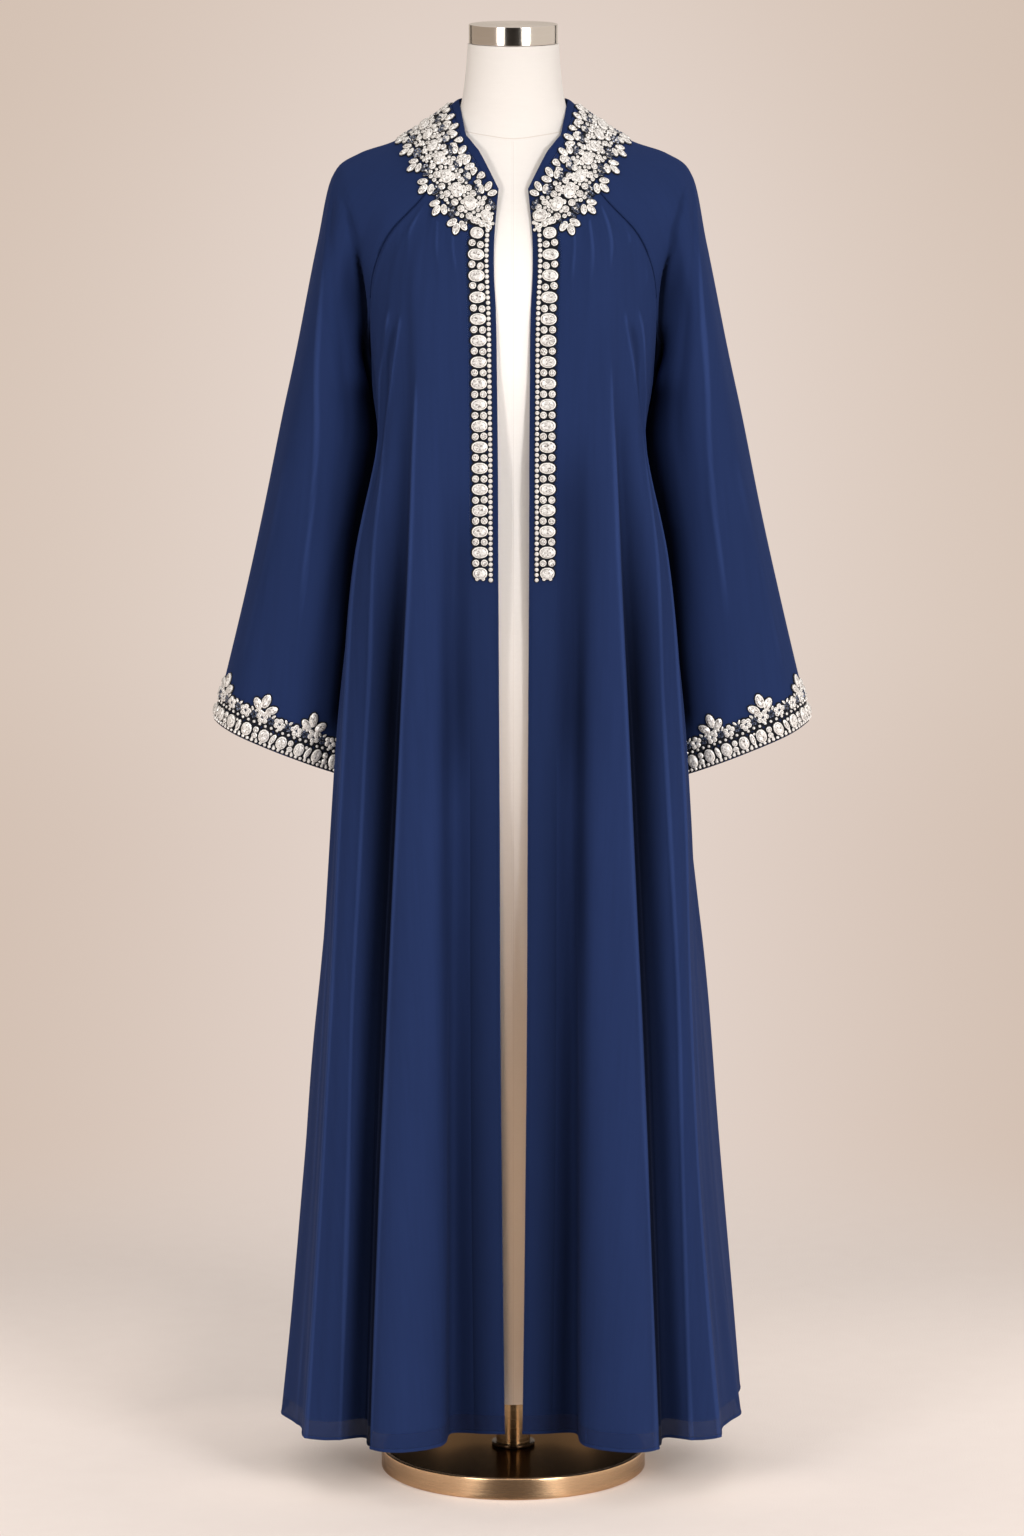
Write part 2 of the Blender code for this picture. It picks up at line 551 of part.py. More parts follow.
# One row for each section of the form: height, half width, depth to the front, depth to the back.
FORM_SECTIONS = (
    ("neck top", 1554.6, 46.4, 46.4, 46.4),
    ("neck", 1530.0, 47.0, 46.8, 46.8),
    ("neck root", 1502.0, 50.5, 47.0, 46.0),
    ("collar", 1484.0, 56.0, 45.0, 46.5),
    ("slope", 1466.0, 72.0, 43.5, 48.0),
    ("slope 2", 1452.0, 97.0, 45.0, 51.0),
    ("shoulder", 1440.0, 125.0, 49.0, 55.0),
    ("shoulder 2", 1427.0, 148.0, 54.0, 61.0),
    ("arm top", 1408.0, 160.0, 63.0, 70.0),
    ("arm", 1375.0, 158.0, 82.0, 86.0),
    ("chest", 1330.0, 150.0, 101.0, 96.0),
    ("bust", 1285.0, 142.0, 109.0, 99.0),
    ("under bust", 1225.0, 136.0, 107.0, 97.0),
    ("ribs", 1160.0, 127.0, 96.0, 88.0),
    ("waist", 1080.0, 116.0, 85.0, 80.0),
    ("high hip", 990.0, 124.0, 90.0, 90.0),
    ("hip", 890.0, 134.0, 97.0, 98.0),
    ("low hip", 800.0, 130.0, 96.0, 96.0),
    ("taper", 700.0, 108.0, 88.0, 87.0),
    ("taper 2", 600.0, 83.0, 75.0, 74.0),
    ("taper 3", 490.0, 64.0, 62.0, 61.0),
    ("column", 360.0, 53.0, 53.0, 53.0),
    ("column foot", 90.0, 45.0, 45.0, 45.0),
    ("foot edge", 79.0, 42.0, 42.0, 42.0),
)
FORM_SIDES = 36


def form_ring(z, half, front, back, sides):
    """A smooth closed section, a little squarer than an ellipse across the shoulders."""
    a = np.linspace(0, 2 * np.pi, sides, endpoint=False)
    c, s = np.cos(a), np.sin(a)
    depth = np.where(s < 0, front, back)
    return np.stack([half * c, depth * s, np.full(sides, z)], 1)


def form_rings(samples, sides):
    """Rings down the form, smoothly between its sections."""
    t = np.array([r[1:] for r in FORM_SECTIONS], float)
    knots = np.concatenate([[0], np.cumsum(np.hypot(np.diff(t[:, 0]), np.diff(t[:, 1])))])
    at = between(knots, [samples] * (len(knots) - 1))
    rows = pchip(knots, t, at)
    return np.stack([form_ring(*r, sides) for r in rows])


def closed_tube(rings):
    """A solid from rings running down, with flat ends."""
    n, m = rings.shape[:2]
    verts = np.concatenate([rings.reshape(-1, 3), rings[0].mean(0)[None], rings[-1].mean(0)[None]])
    idx = np.arange(n * m).reshape(n, m)
    nxt = np.roll(idx, -1, axis=1)
    a, b, c, d = idx[:-1].ravel(), nxt[:-1].ravel(), nxt[1:].ravel(), idx[1:].ravel()
    faces = [np.stack([a, d, c], 1), np.stack([a, c, b], 1),
             np.stack([idx[0], nxt[0], np.full(m, n * m)], 1),
             np.stack([nxt[-1], idx[-1], np.full(m, n * m + 1)], 1)]
    return verts, np.concatenate(faces)


def turned(profile, sides):
    """A solid turned about the z axis; the profile runs down the outside, radius and height."""
    a = np.linspace(0, 2 * np.pi, sides, endpoint=False)
    rings = np.stack([np.stack([r * np.cos(a), r * np.sin(a), np.full(sides, z)], 1) for r, z in profile])
    return closed_tube(rings)


def build():
    for ob in list(bpy.data.objects):
        bpy.data.objects.remove(ob, do_unlink=True)
    navy = material("navy_chiffon", (0.022, 0.045, 0.165), 0.72, 0.0, 0.35)
    band_navy = material("navy_band", (0.020, 0.040, 0.150), 0.74, 0.0, 0.3)
    lining_navy = material("navy_lining", (0.016, 0.030, 0.110), 0.55)
    crystal = material("crystal_trim", (0.70, 0.70, 0.72), 0.25, 0.35)
    linen = material("cream_cover", (0.80, 0.74, 0.64), 0.8)
    nickel = material("polished_nickel", (0.66, 0.63, 0.60), 0.18, 1.0)
    brass = material("brushed_brass", (0.62, 0.46, 0.27), 0.32, 1.0)
    bronze = material("dark_bronze", (0.40, 0.29, 0.17), 0.22, 1.0)

    cloak = Cloak()
    name_of = {-1: "left", 1: "right"}
    last = len(BODY_V) - 1

    def solid(name, key, p, n, mat, top, bottom):
        side = cloak.side[key]
        v, f = wall(p - n * top, p - n * bottom, side)
        mesh_object(name, v, f, mat)

    for s in (-1, 1):
        w = name_of[s]
        key = ("front", s)
        band = 2                                     # column of the band's seam
        p, n = cloak.piece(key, cols=slice(0, band + 1), gaps="tr")
        solid("front_band_" + w, key, p, n, band_navy, 0.0, CLOTH)
        p, n = cloak.piece(key, cols=slice(band, None), gaps="tlr")
        solid("front_" + w, key, p, n, navy, 0.0, CLOTH)
        p, n = cloak.piece(key, rows=slice(0, last), cols=slice(band, None), gaps="tlr")
        solid("lining_front_" + w, key, p, n, lining_navy, CLOTH + LINING_GAP, CLOTH + LINING_GAP + LINING)
        a, b = 2, int(np.argmin(abs(BODY_V - V_TRIM_FOOT)))
        p, n = cloak.piece(key, rows=slice(a, b + 1), cols=slice(1, band + 1), gaps="tr")
        solid("front_trim_" + w, key, p, n, crystal, -TRIM_CLEAR - TRIM_WALL, -TRIM_CLEAR)
        key = ("sleeve", s)
        p, n = cloak.piece(key, gaps="tlr")
        solid("sleeve_" + w, key, p, n, navy, 0.0, CLOTH)
        p, n = cloak.piece(key, rows=slice(-2, None), gaps="lr")
        solid("cuff_trim_" + w, key, p, n, crystal, -TRIM_CLEAR - TRIM_WALL, -TRIM_CLEAR)
    p, n = cloak.piece("back", gaps="tlr")
    solid("back_panel", "back", p, n, navy, 0.0, CLOTH)
    p, n = cloak.piece("back", rows=slice(0, last), gaps="tlr")
    solid("lining_back", "back", p, n, lining_navy, CLOTH + LINING_GAP, CLOTH + LINING_GAP + LINING)

    # The rows round the neck run over fronts, sleeves and back without a break.
    def around(rows_of):
        """Points and normals of whole rows from the left open edge to the right one."""
        out_p, out_n = [], []
        def take(key, flip, skip):
            p, n = rows_of(key)
            if flip:
                p, n = p[:, ::-1], n[:, ::-1]
            out_p.append(p[:, skip:]); out_n.append(n[:, skip:])
        take(("front", -1), False, 0)
        take(("sleeve", -1), False, 1)
        take("back", False, 1)
        take(("sleeve", 1), True, 1)
        take(("front", 1), True, 1)
        return np.concatenate(out_p, 1), np.concatenate(out_n, 1)

    def neck_rows(key):
        sheet = cloak.sheets[key]
        return sheet.frame(cloak.u[key], np.array([0.0, V_NECK]), cloak.side[key])

    p, n = around(neck_rows)
    n = unit(n)
    q = p.copy()
    q[1] -= (SEAM / 2) * unit(p[1] - p[0])
    v, f = wall(q, q - n * CLOTH, 1)
    mesh_object("neck_band", v, f, band_navy)

    p, n = around(lambda key: (cloak.p[key][:3], cloak.n[key][:3]))
    p = p.copy()
    p[0] += (p[1] - p[0]) * 0.03
    cut = [0, len(cloak.u["front", -1]) + 6, None]
    cols = p.shape[1]
    # right of the back panel the columns run the other way, and so do their diagonals
    right_half = cols - len(cloak.u["front", 1]) - len(cloak.u["sleeve", 1]) + 1
    left = slice(0, cut[1] + 1)
    right = slice(cols - 1 - cut[1], cols)
    middle = slice(cut[1], cols - cut[1])
    for name, sl, l, r in (("collar_trim_left", left, 0, 1), ("collar_trim_back", middle, 1, 1), ("collar_trim_right", right, 1, 0)):
        q, m = p[:, sl].copy(), n[:, sl]
        if l:
            q[:, 0] += SEAM / 2 * unit(p[:, sl][:, 1] - p[:, sl][:, 0])
        if r:
            q[:, -1] -= SEAM / 2 * unit(p[:, sl][:, -1] - p[:, sl][:, -2])
        start = sl.start or 0
        turn = {"collar_trim_left": None, "collar_trim_back": right_half - start, "collar_trim_right": 0}[name]
        v, f = wall(q + m * (TRIM_CLEAR + TRIM_WALL), q + m * TRIM_CLEAR, 1, turn)
        mesh_object(name, v, f, crystal)

    v, f = closed_tube(form_rings(1, FORM_SIDES))
    mesh_object("form_body", v, f, linen)
    v, f = turned(((CAP_RADIUS - 0.8, CAP_TOP), (CAP_RADIUS, CAP_TOP - 0.8), (CAP_RADIUS, CAP_TOP - CAP_HEIGHT)), 48)
    mesh_object("neck_cap", v, f, nickel)
    foot = FORM_SECTIONS[-1][1]
    v, f = turned(((POLE_RADIUS, foot - TOUCH), (POLE_RADIUS, FLANGE_TOP + TOUCH)), 32)
    mesh_object("pole", v, f, brass)
    v, f = turned(((FLANGE_RADIUS - 1.5, FLANGE_TOP), (FLANGE_RADIUS, FLANGE_TOP - 1.5), (FLANGE_RADIUS, BASE_HEIGHT + TOUCH)), 32)
    mesh_object("pole_flange", v, f, brass)
    v, f = turned(((BASE_RADIUS - BASE_BEVEL, BASE_HEIGHT), (BASE_RADIUS, BASE_HEIGHT - BASE_BEVEL),
                   (BASE_RADIUS, BASE_BEVEL), (BASE_RADIUS - BASE_BEVEL, 0.0)), 64)
    mesh_object("base_plate", v, f, bronze)


build()
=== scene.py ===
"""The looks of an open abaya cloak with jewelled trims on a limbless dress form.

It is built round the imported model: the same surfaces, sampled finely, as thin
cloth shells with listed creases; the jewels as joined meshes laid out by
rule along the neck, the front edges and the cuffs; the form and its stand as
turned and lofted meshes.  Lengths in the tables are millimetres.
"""

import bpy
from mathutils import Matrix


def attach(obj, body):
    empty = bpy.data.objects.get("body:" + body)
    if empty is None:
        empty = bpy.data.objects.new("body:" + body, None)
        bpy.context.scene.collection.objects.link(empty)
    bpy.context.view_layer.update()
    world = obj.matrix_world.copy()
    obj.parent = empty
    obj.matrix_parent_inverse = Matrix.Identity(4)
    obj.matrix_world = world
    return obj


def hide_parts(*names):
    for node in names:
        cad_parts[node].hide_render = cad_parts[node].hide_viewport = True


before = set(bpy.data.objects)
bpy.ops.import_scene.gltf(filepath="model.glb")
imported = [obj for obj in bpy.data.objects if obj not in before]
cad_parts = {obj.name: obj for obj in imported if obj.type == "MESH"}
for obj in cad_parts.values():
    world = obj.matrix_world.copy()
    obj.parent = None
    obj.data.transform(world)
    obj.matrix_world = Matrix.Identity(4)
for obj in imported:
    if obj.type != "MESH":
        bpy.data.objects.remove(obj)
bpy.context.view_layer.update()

import math

import bpy
import numpy as np
from mathutils import Vector

# ---------------------------------------------------------------- tuned values
# painted shade: how steeply and how far the fold shade darkens the cloth
PAINTED_SHADE_POWER = 2.6
PAINTED_SHADE_DEPTH = 0.94
FLOOR_NEAR_A = (0.792, 0.730, 0.698)
FLOOR_NEAR_B = (0.734, 0.664, 0.634)
FLOOR_FADE = (0.75, 1.75)
# painted light: how much the floor that the camera sees glows
FLOOR_PAINTED_LIGHT = 0.16
AMBIENT = 1.0
ROOM_LEFT = (0.46, 0.385, 0.315)
ROOM_RIGHT = (0.80, 0.735, 0.670)
ROOM_TOP = (0.95, 0.91, 0.87)
ROOM_DARK = (0.022, 0.019, 0.016)
LAMPS = (
    # name, degrees right of the camera, distance, width, height, centre height, watts, colour
    ("box_right", 33.0, 4.0, 1.25, 3.0, 1.8, 100.0, (1.0, 0.985, 0.97)),
    ("box_left", -33.0, 4.0, 1.25, 3.0, 1.8, 56.0, (1.0, 0.985, 0.97)),
)
NECK_SEAM = (1458.8, 1459.4, 1463.0, 1468.0)

# ---------------------------------------------------------------- named sizes (mm)
HEM_Z = 65.0            # height of the hem over the floor
NECK_BAND = 10.0        # width of the plain strip round the neckline
COLLAR_REACH = 90.0     # neckline to the outer edge of the collar trim
FRONT_BAND = 33.0       # width of the strip down each front edge
TRIM_INSET = 5.5        # plain edge left free beside the front trim
TRIM_FOOT_Z = 1001.0    # lower end of the front trims
CUFF_TRIM = 30.0        # height of the cuff trims
CLOTH = 1.2             # wall of the outer cloth
LINING = 1.0            # wall of the lining
LINING_GAP = 0.45       # clear space between cloth and lining
LINING_UP = 22.0        # the lining ends this far above the hem
SEAM = 0.36             # gap between two pieces at a seam
TRIM_CLEAR = 0.45       # clear space under a trim
TRIM_WALL = 1.3         # wall of a trim's backing

# ---------------------------------------------------------------- tables (mm)
# Heights of the rows.  Rows k0..k5 run round the neck and shoulders (k0 the
# neckline, k1 the collar trim's edge, k5 the underarm); the rest are level.
ROWS = ("k0", "k1", "k2", "k3", "k4", "k5", "chest", "waist", "hip", "thigh", "knee", "calf", "hem")
EDGE_Z = (1409, 1345, 1318, 1292, 1256, 1205, 1140, 1020, 860, 740, 560, 320, 65)

# The raglan seam on the front: distance out, depth, height at rows k0..k5.
RAGLAN_FRONT = {
    "out": (50, 98, 131, 146.5, 152, 149),
    "y": (-42, -73, -71, -62, -52, -2),
    "z": (1463, 1397, 1361, 1326, 1275, 1205),
}
# The same seam on the back.
RAGLAN_BACK = {
    "out": (46, 98, 132, 147, 153, 149),
    "y": (46, 64, 70, 67, 54, -2),
    "z": (1494, 1424, 1379, 1338, 1278, 1205),
}
# One row for each fold of a front, from the open edge to the side seam.
# "out" and "y" hold a value for each of ROWS.
FRONT_FOLDS = (
    # name,        out at k0 .. hem,                                                        depth at k0 .. hem
    ("edge",      (15.4, 20.3, 20.0, 18.6, 17.6, 17.0, 16.3, 15.8, 15.0, 14.4, 13.9, 12.0, 9.0),
                  (-75, -99, -106, -111, -114, -116, -117, -118, -118, -117, -116, -114, -111)),
    ("band seam", (27.5, 50, 49.5, 48.5, 47.5, 46.8, 46.4, 46.2, 46.0, 46.0, 46.0, 45.0, 42.5),
                  (-66, -100, -108, -113, -116, -117.5, -118, -118, -117, -115, -113, -111, -108)),
    ("recess",    (32, 60, 62, 62, 61.5, 61, 60.5, 61, 62, 62.5, 63.5, 65, 66.5),
                  (-62.5, -98, -108, -114, -117, -118, -118, -117, -115, -113, -111, -109, -107)),
    ("inner",     (36, 69, 74, 76, 76, 75.5, 75, 75, 75.5, 75.5, 75, 73.5, 73),
                  (-59, -95, -106.5, -114, -118, -119.5, -120.5, -123, -127, -130, -136, -142, -148)),
    ("main",      (39, 77, 86, 89, 90, 90, 90.5, 93, 97, 99, 104, 110, 116),
                  (-56, -91, -103, -112, -117, -120, -122, -127, -135, -141, -152, -168, -184)),
    ("crest c",   (41.5, 84, 97, 101, 101, 102, 105, 110, 118.5, 124, 132.5, 143, 153),
                  (-53, -86, -98, -108, -115, -118, -119, -122, -128, -132, -140, -154, -171)),
    ("valley 1",  (43.5, 88.5, 106, 112, 112, 112, 112, 118, 127, 133.5, 143, 152, 160),
                  (-51, -82, -92, -100, -106, -107, -107, -107, -107, -108, -110, -118, -128)),
    ("soft d",    (45.5, 92, 114, 122, 124, 126, 130, 144, 154.5, 161, 171, 178, 187),
                  (-48, -79, -86, -91, -97, -97, -99, -103, -106, -108, -114, -123, -134)),
    ("crest b",   (47.5, 95, 122, 133, 137, 137, 142.5, 167, 181.5, 188, 196.5, 210, 226),
                  (-45.5, -76, -79, -79, -82, -80, -72, -74, -82, -87, -96, -107, -122)),
    ("valley 2",  (48.7, 96.5, 127, 141, 146.5, 146, 144.5, 167.5, 183, 190, 200, 214, 230),
                  (-44, -74.5, -75, -70, -67, -52, -50, -58, -66, -69, -74, -78, -84)),
    ("side",      (49.4, 97.3, 129.3, 144.3, 150.3, 150, 143, 163.5, 184.5, 195, 208.5, 226.5, 252),
                  (-43, -73.8, -73, -66, -59, -27, -26, -38, -45, -46, -42, -38, -33)),
    ("side seam", (50, 98, 131, 146.5, 152, 149, 138, 147, 148, 160, 204, 228, 247),
                  (-42, -73, -71, -62, -52, -2, 0, 2, 4, 6, 6, 6, 7)),
)
# Down the right side the outer folds hang this much closer in, row by row.
RIGHT_SIDE_IN = (0, 0, 0, 0, 0, 0, 1.5, 1.0, 0, 0, 4.0, 5.5, 0)
# How far each fold of the right front lies further out than the left one.
RIGHT_FRONT_SHIFT = {
    "edge": 0.8, "crest c": 2.0, "valley 1": 2.5, "soft d": 5.0, "crest b": -3.0, "valley 2": -3.0, "side": -4.5, "side seam": -1.5,
}
# One row for each fold of half the back, from the side seam to the centre.
BACK_FOLDS = (
    ("side seam", (46, 98, 132, 147, 153, 149, 138, 147, 148, 160, 204, 228, 247),
                  (46, 64, 70, 67, 54, -2, 0, 2, 4, 6, 6, 6, 7)),
    ("crest 5",   (41, 88, 117, 131, 137, 141, 141, 155, 171, 182, 196, 214, 234),
                  (48.5, 71, 79, 82, 78, 60, 66, 74, 86, 90, 88, 92, 96)),
    ("valley 4",  (35, 74, 98, 110, 115, 118, 118, 122, 128, 132, 138, 149, 160),
                  (51, 78, 88, 93, 94, 90, 88, 87, 89, 90, 93, 98, 104)),
    ("crest 3",   (28, 58, 76, 86, 90, 92, 94, 98, 102, 105, 110, 120, 131),
                  (53.5, 84, 95, 100, 103, 104, 106, 110, 118, 125, 137, 156, 178)),
    ("rise 3",    (24, 50, 65, 74, 77, 78, 79, 82, 85, 88, 91, 97, 104),
                  (54.7, 86, 97, 102, 104, 104.7, 105.5, 108, 114, 119.5, 129, 145, 165)),
    ("valley 2",  (19, 40, 52, 60, 62, 62, 62, 64, 66, 68, 70, 74, 79),
                  (56, 89, 99, 104, 105, 104, 103.5, 103, 103, 103, 104, 106, 108)),
    ("crest 1",   (10, 20, 28, 32, 34, 34, 34, 35, 36, 37, 38, 40, 43),
                  (57.5, 91.5, 101, 105.5, 107.5, 108, 109, 111, 114, 117, 123, 133, 145)),
    ("centre",    (0, 0, 0, 0, 0, 0, 0, 0, 0, 0, 0, 0, 0),
                  (58, 92, 101, 105, 107, 107, 107, 108, 109, 110, 112, 116, 120)),
)
BACK_CENTRE_Z = (1500, 1412, 1372, 1334, 1276, 1205, 1140, 1020, 860, 740, 560, 320, 65)
# The right sleeve hangs this much closer in than the left one, from the tip down.
RIGHT_SLEEVE_IN = 2.6
RIGHT_BACK_SHIFT = {"crest 5": 3.0, "valley 4": 5.0, "crest 3": 6.0, "valley 2": 3.0, "crest 1": 2.0}

# Sleeve rows: k0..k5 shared with the raglan seams, then four rings of the tube.
# The ridge is the shoulder line and, below the tip, the outer edge of the sleeve.
SLEEVE_ROWS = ("k0", "k1", "k2", "k3", "k4", "k5", "upper", "elbow", "fore", "cuff")
SLEEVE_RIDGE = {
    "out": (58.5, 128, 164, 189.5, 208.5, 229.5, 246, 270, 296, 322),
    "y": (8, 8, 8, 7, 7, 9, 11, 14, 18, 21),
    "z": (1496, 1451, 1438.5, 1420, 1344, 1240, 1163, 1047, 934, 826),
}
SLEEVE_INNER = {       # the underarm seam of the tube, rows k5..cuff
    "out": (152.5, 145.5, 156, 163, 169),
    "y": (-2, 4, 8, 12, 16),
    "z": (1204, 1120, 1000, 882, 765),
}
# Depth of the sleeve's front at shares of the way from seam to ridge, then of
# its back from ridge to seam.
SLEEVE_SHARES = (0.035, 0.13, 0.32, 0.58, 0.82, 0.955)
SLEEVE_FRONT_Y = (
    ("k0", (-41, -38.5, -32, -21, -9, 2)),
    ("k1", (-72, -69.5, -61, -43, -20, -2)),
    ("k2", (-70.5, -69, -62, -46, -22, -3)),
    ("k3", (-61, -58, -53, -46, -28, -7)),
    ("k4", (-47.5, -39.5, -38, -48, -42, -17)),
    ("k5", (-16, -27, -42, -54, -45, -17)),
    ("upper", (-12, -27, -41, -51, -42, -15)),
    ("elbow", (-10, -27, -39, -46, -37, -10)),
    ("fore", (-7, -23, -34, -39, -31, -5)),
    ("cuff", (-4, -18, -29, -33, -26, -2)),
)
SLEEVE_BACK_Y = (
    ("k0", (46.5, 45, 42, 36, 27, 17)),
    ("k1", (64, 62.5, 59, 50, 34, 19)),
    ("k2", (70.5, 70, 66, 56, 38, 20)),
    ("k3", (67.5, 67, 65, 58, 43, 23)),
    ("k4", (52, 50, 53, 60, 52, 27)),
    ("k5", (14, 30, 49, 62, 54, 30)),
    ("upper", (18, 36, 52, 61, 53, 31)),
    ("elbow", (24, 42, 55, 60, 53, 34)),
    ("fore", (29, 46, 57, 61, 54, 37)),
    ("cuff", (33, 50, 61, 64, 57, 40)),
)

# ---------------------------------------------------------------- curves
def pchip(knots, values, at):
    """Values through knots, smooth and without overshoot; values may be an array of any shape."""
    k = np.asarray(knots, float)
    v = np.asarray(values, float)
    shape = v.shape[1:]
    v = v.reshape(len(k), -1)
    h = np.diff(k)[:, None]
    d = np.diff(v, axis=0) / h
    m = np.zeros_like(v)
    same = d[:-1] * d[1:] > 0
    w1 = 2 * h[1:] + h[:-1]
    w2 = h[1:] + 2 * h[:-1]
    safe0 = np.where(same, d[:-1], 1.0)
    safe1 = np.where(same, d[1:], 1.0)
    m[1:-1] = np.where(same, (w1 + w2) / (w1 / safe0 + w2 / safe1), 0.0)
    m[0] = d[0]
    m[-1] = d[-1]
    t = np.asarray(at, float).ravel()
    i = np.clip(np.searchsorted(k, t, side="right") - 1, 0, len(k) - 2)
    hh = (k[i + 1] - k[i])[:, None]
    s = ((t - k[i])[:, None]) / hh
    r = ((2 * s**3 - 3 * s**2 + 1) * v[i] + (s**3 - 2 * s**2 + s) * hh * m[i]
         + (3 * s**2 - 2 * s**3) * v[i + 1] + (s**3 - s**2) * hh * m[i + 1])
    return r.reshape((len(t),) + shape)


def soft(knots, values, at):
    """A rounder curve through knots than pchip: Catmull-Rom slopes on uneven knots."""
    k = np.asarray(knots, float)
    v = np.asarray(values, float)
    shape = v.shape[1:]
    v = v.reshape(len(k), -1)
    h = np.diff(k)[:, None]
    d = np.diff(v, axis=0) / h
    m = np.empty_like(v)
    m[1:-1] = (d[:-1] * h[1:] + d[1:] * h[:-1]) / (h[1:] + h[:-1])
    m[0] = 1.5 * d[0] - 0.5 * m[1]
    m[-1] = 1.5 * d[-1] - 0.5 * m[-2]
    t = np.asarray(at, float).ravel()
    i = np.clip(np.searchsorted(k, t, side="right") - 1, 0, len(k) - 2)
    hh = (k[i + 1] - k[i])[:, None]
    s = ((t - k[i])[:, None]) / hh
    r = ((2 * s**3 - 3 * s**2 + 1) * v[i] + (s**3 - 2 * s**2 + s) * hh * m[i]
         + (3 * s**2 - 2 * s**3) * v[i + 1] + (s**3 - s**2) * hh * m[i + 1])
    return r.reshape((len(t),) + shape)


class Sheet:
    """A smooth surface through a net of points: rows down, folds across.
    ends holds the slopes across the first and last fold, a vector for each row."""

    def __init__(self, row_knots, fold_knots, net, first=None, last=None):
        self.rk = np.asarray(row_knots, float)
        self.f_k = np.asarray(fold_knots, float)
        self.net = np.asarray(net, float)
        n = len(self.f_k)
        h = np.diff(self.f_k)
        a = np.zeros((n, n))
        b = np.zeros((n, n + 2))
        for i in range(1, n - 1):
            a[i, i - 1], a[i, i], a[i, i + 1] = h[i - 1], 2 * (h[i - 1] + h[i]), h[i]
            b[i, i - 1] += 6 / h[i - 1]
            b[i, i] -= 6 / h[i - 1] + 6 / h[i]
            b[i, i + 1] += 6 / h[i]
        if first is None:
            a[0, 0] = 1
        else:
            a[0, 0], a[0, 1] = 2 * h[0], h[0]
            b[0, 0], b[0, 1], b[0, n] = -6 / h[0], 6 / h[0], -6
        if last is None:
            a[-1, -1] = 1
        else:
            a[-1, -1], a[-1, -2] = 2 * h[-1], h[-1]
            b[-1, -1], b[-1, -2], b[-1, n + 1] = -6 / h[-1], 6 / h[-1], 6
        self.solve = np.linalg.solve(a, b)
        zero = np.zeros((len(self.rk), 3))
        self.ends = np.stack([zero if first is None else first, zero if last is None else last], axis=1)

    def rows(self, v):
        """Control points and end slopes of the rows at v."""
        c = soft(self.rk, self.net, v) if self.net.shape[0] > 2 else pchip(self.rk, self.net, v)
        e = pchip(self.rk, self.ends, v)
        return c, e

    def grid(self, u, v):
        """Points at every u of every v: array (v, u, 3)."""
        c, e = self.rows(v)
        full = np.concatenate([c, e], axis=1)
        m = np.einsum("ij,rjk->rik", self.solve, full)
        u = np.asarray(u, float).ravel()
        i = np.clip(np.searchsorted(self.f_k, u, side="right") - 1, 0, len(self.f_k) - 2)
        h = self.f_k[i + 1] - self.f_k[i]
        A = ((self.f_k[i + 1] - u) / h)[None, :, None]
        B = 1 - A
        hh = h[None, :, None] ** 2 / 6
        return A * c[:, i] + B * c[:, i + 1] + ((A**3 - A) * m[:, i] + (B**3 - B) * m[:, i + 1]) * hh

    def frame(self, u, v, side):
        """Points and outward normals; side is +1 where (across x down) points out, else -1."""
        u = np.asarray(u, float)
        v = np.asarray(v, float)
        du = 2e-3 * (self.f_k[-1] - self.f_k[0])
        dv = 2e-3 * (self.rk[-1] - self.rk[0]) / len(self.rk)
        u0, u1 = np.clip(u - du, self.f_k[0], self.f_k[-1]), np.clip(u + du, self.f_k[0], self.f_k[-1])
        v0, v1 = np.clip(v - dv, self.rk[0], self.rk[-1]), np.clip(v + dv, self.rk[0], self.rk[-1])
        p = self.grid(u, v)
        across = self.grid(u1, v) - self.grid(u0, v)
        down = self.grid(u, v1) - self.grid(u, v0)
        n = np.cross(across, down) * side
        n /= np.linalg.norm(n, axis=2, keepdims=True)
        return p, n


def chord(net, rows):
    """Fold knots from the mean spacing of the folds on the given rows."""
    d = np.linalg.norm(np.diff(net[rows], axis=1), axis=2).mean(axis=0)
    return np.concatenate([[0.0], np.cumsum(d)])


# ---------------------------------------------------------------- the nets
ROW_KNOTS = np.array([0.0, 90, 130, 165, 215, 272, 338, 458, 618, 738, 918, 1158, 1413])
CUFF_KNOTS = np.array([0.0, 90, 130, 165, 215, 272, 354, 474, 590, 706])
UNDERARM = 5            # row of the underarm


def front_net(side):
    """(rows, folds, 3) for one front; side is -1 for the left, +1 for the right."""
    net = np.zeros((len(ROWS), len(FRONT_FOLDS), 3))
    for j, (name, out, depth) in enumerate(FRONT_FOLDS):
        shift = RIGHT_FRONT_SHIFT.get(name, 0.0) if side > 0 else 0.0
        grow = np.clip((np.arange(len(ROWS)) - 4) / 3.0, 0, 1)
        nearer = np.array(RIGHT_SIDE_IN) if side > 0 and name in ("crest b", "valley 2", "side", "side seam") else 0.0
        net[:, j, 0] = side * (np.array(out) + shift * grow - nearer)
        net[:, j, 1] = depth
    # heights: the neckline and the collar's edge have their own curves, the rest slope evenly
    for r in range(len(ROWS)):
        o = np.abs(net[r, :, 0])
        s = (o - o[0]) / (o[-1] - o[0])
        if r == 0:
            z = np.interp(s, (0, 0.28, 0.57, 0.86, 1.0), (1409, 1428, 1446.5, 1458, 1463))
        elif r == 1:
            z = np.interp(s, (0, 0.25, 0.47, 0.72, 0.94, 1.0), (1345, 1347, 1354, 1370, 1389, 1397))
        elif r <= UNDERARM:
            z = EDGE_Z[r] + (RAGLAN_FRONT["z"][r] - EDGE_Z[r]) * s**1.5
        else:
            z = np.full(len(o), float(EDGE_Z[r]))
        net[r, :, 2] = z
    return net


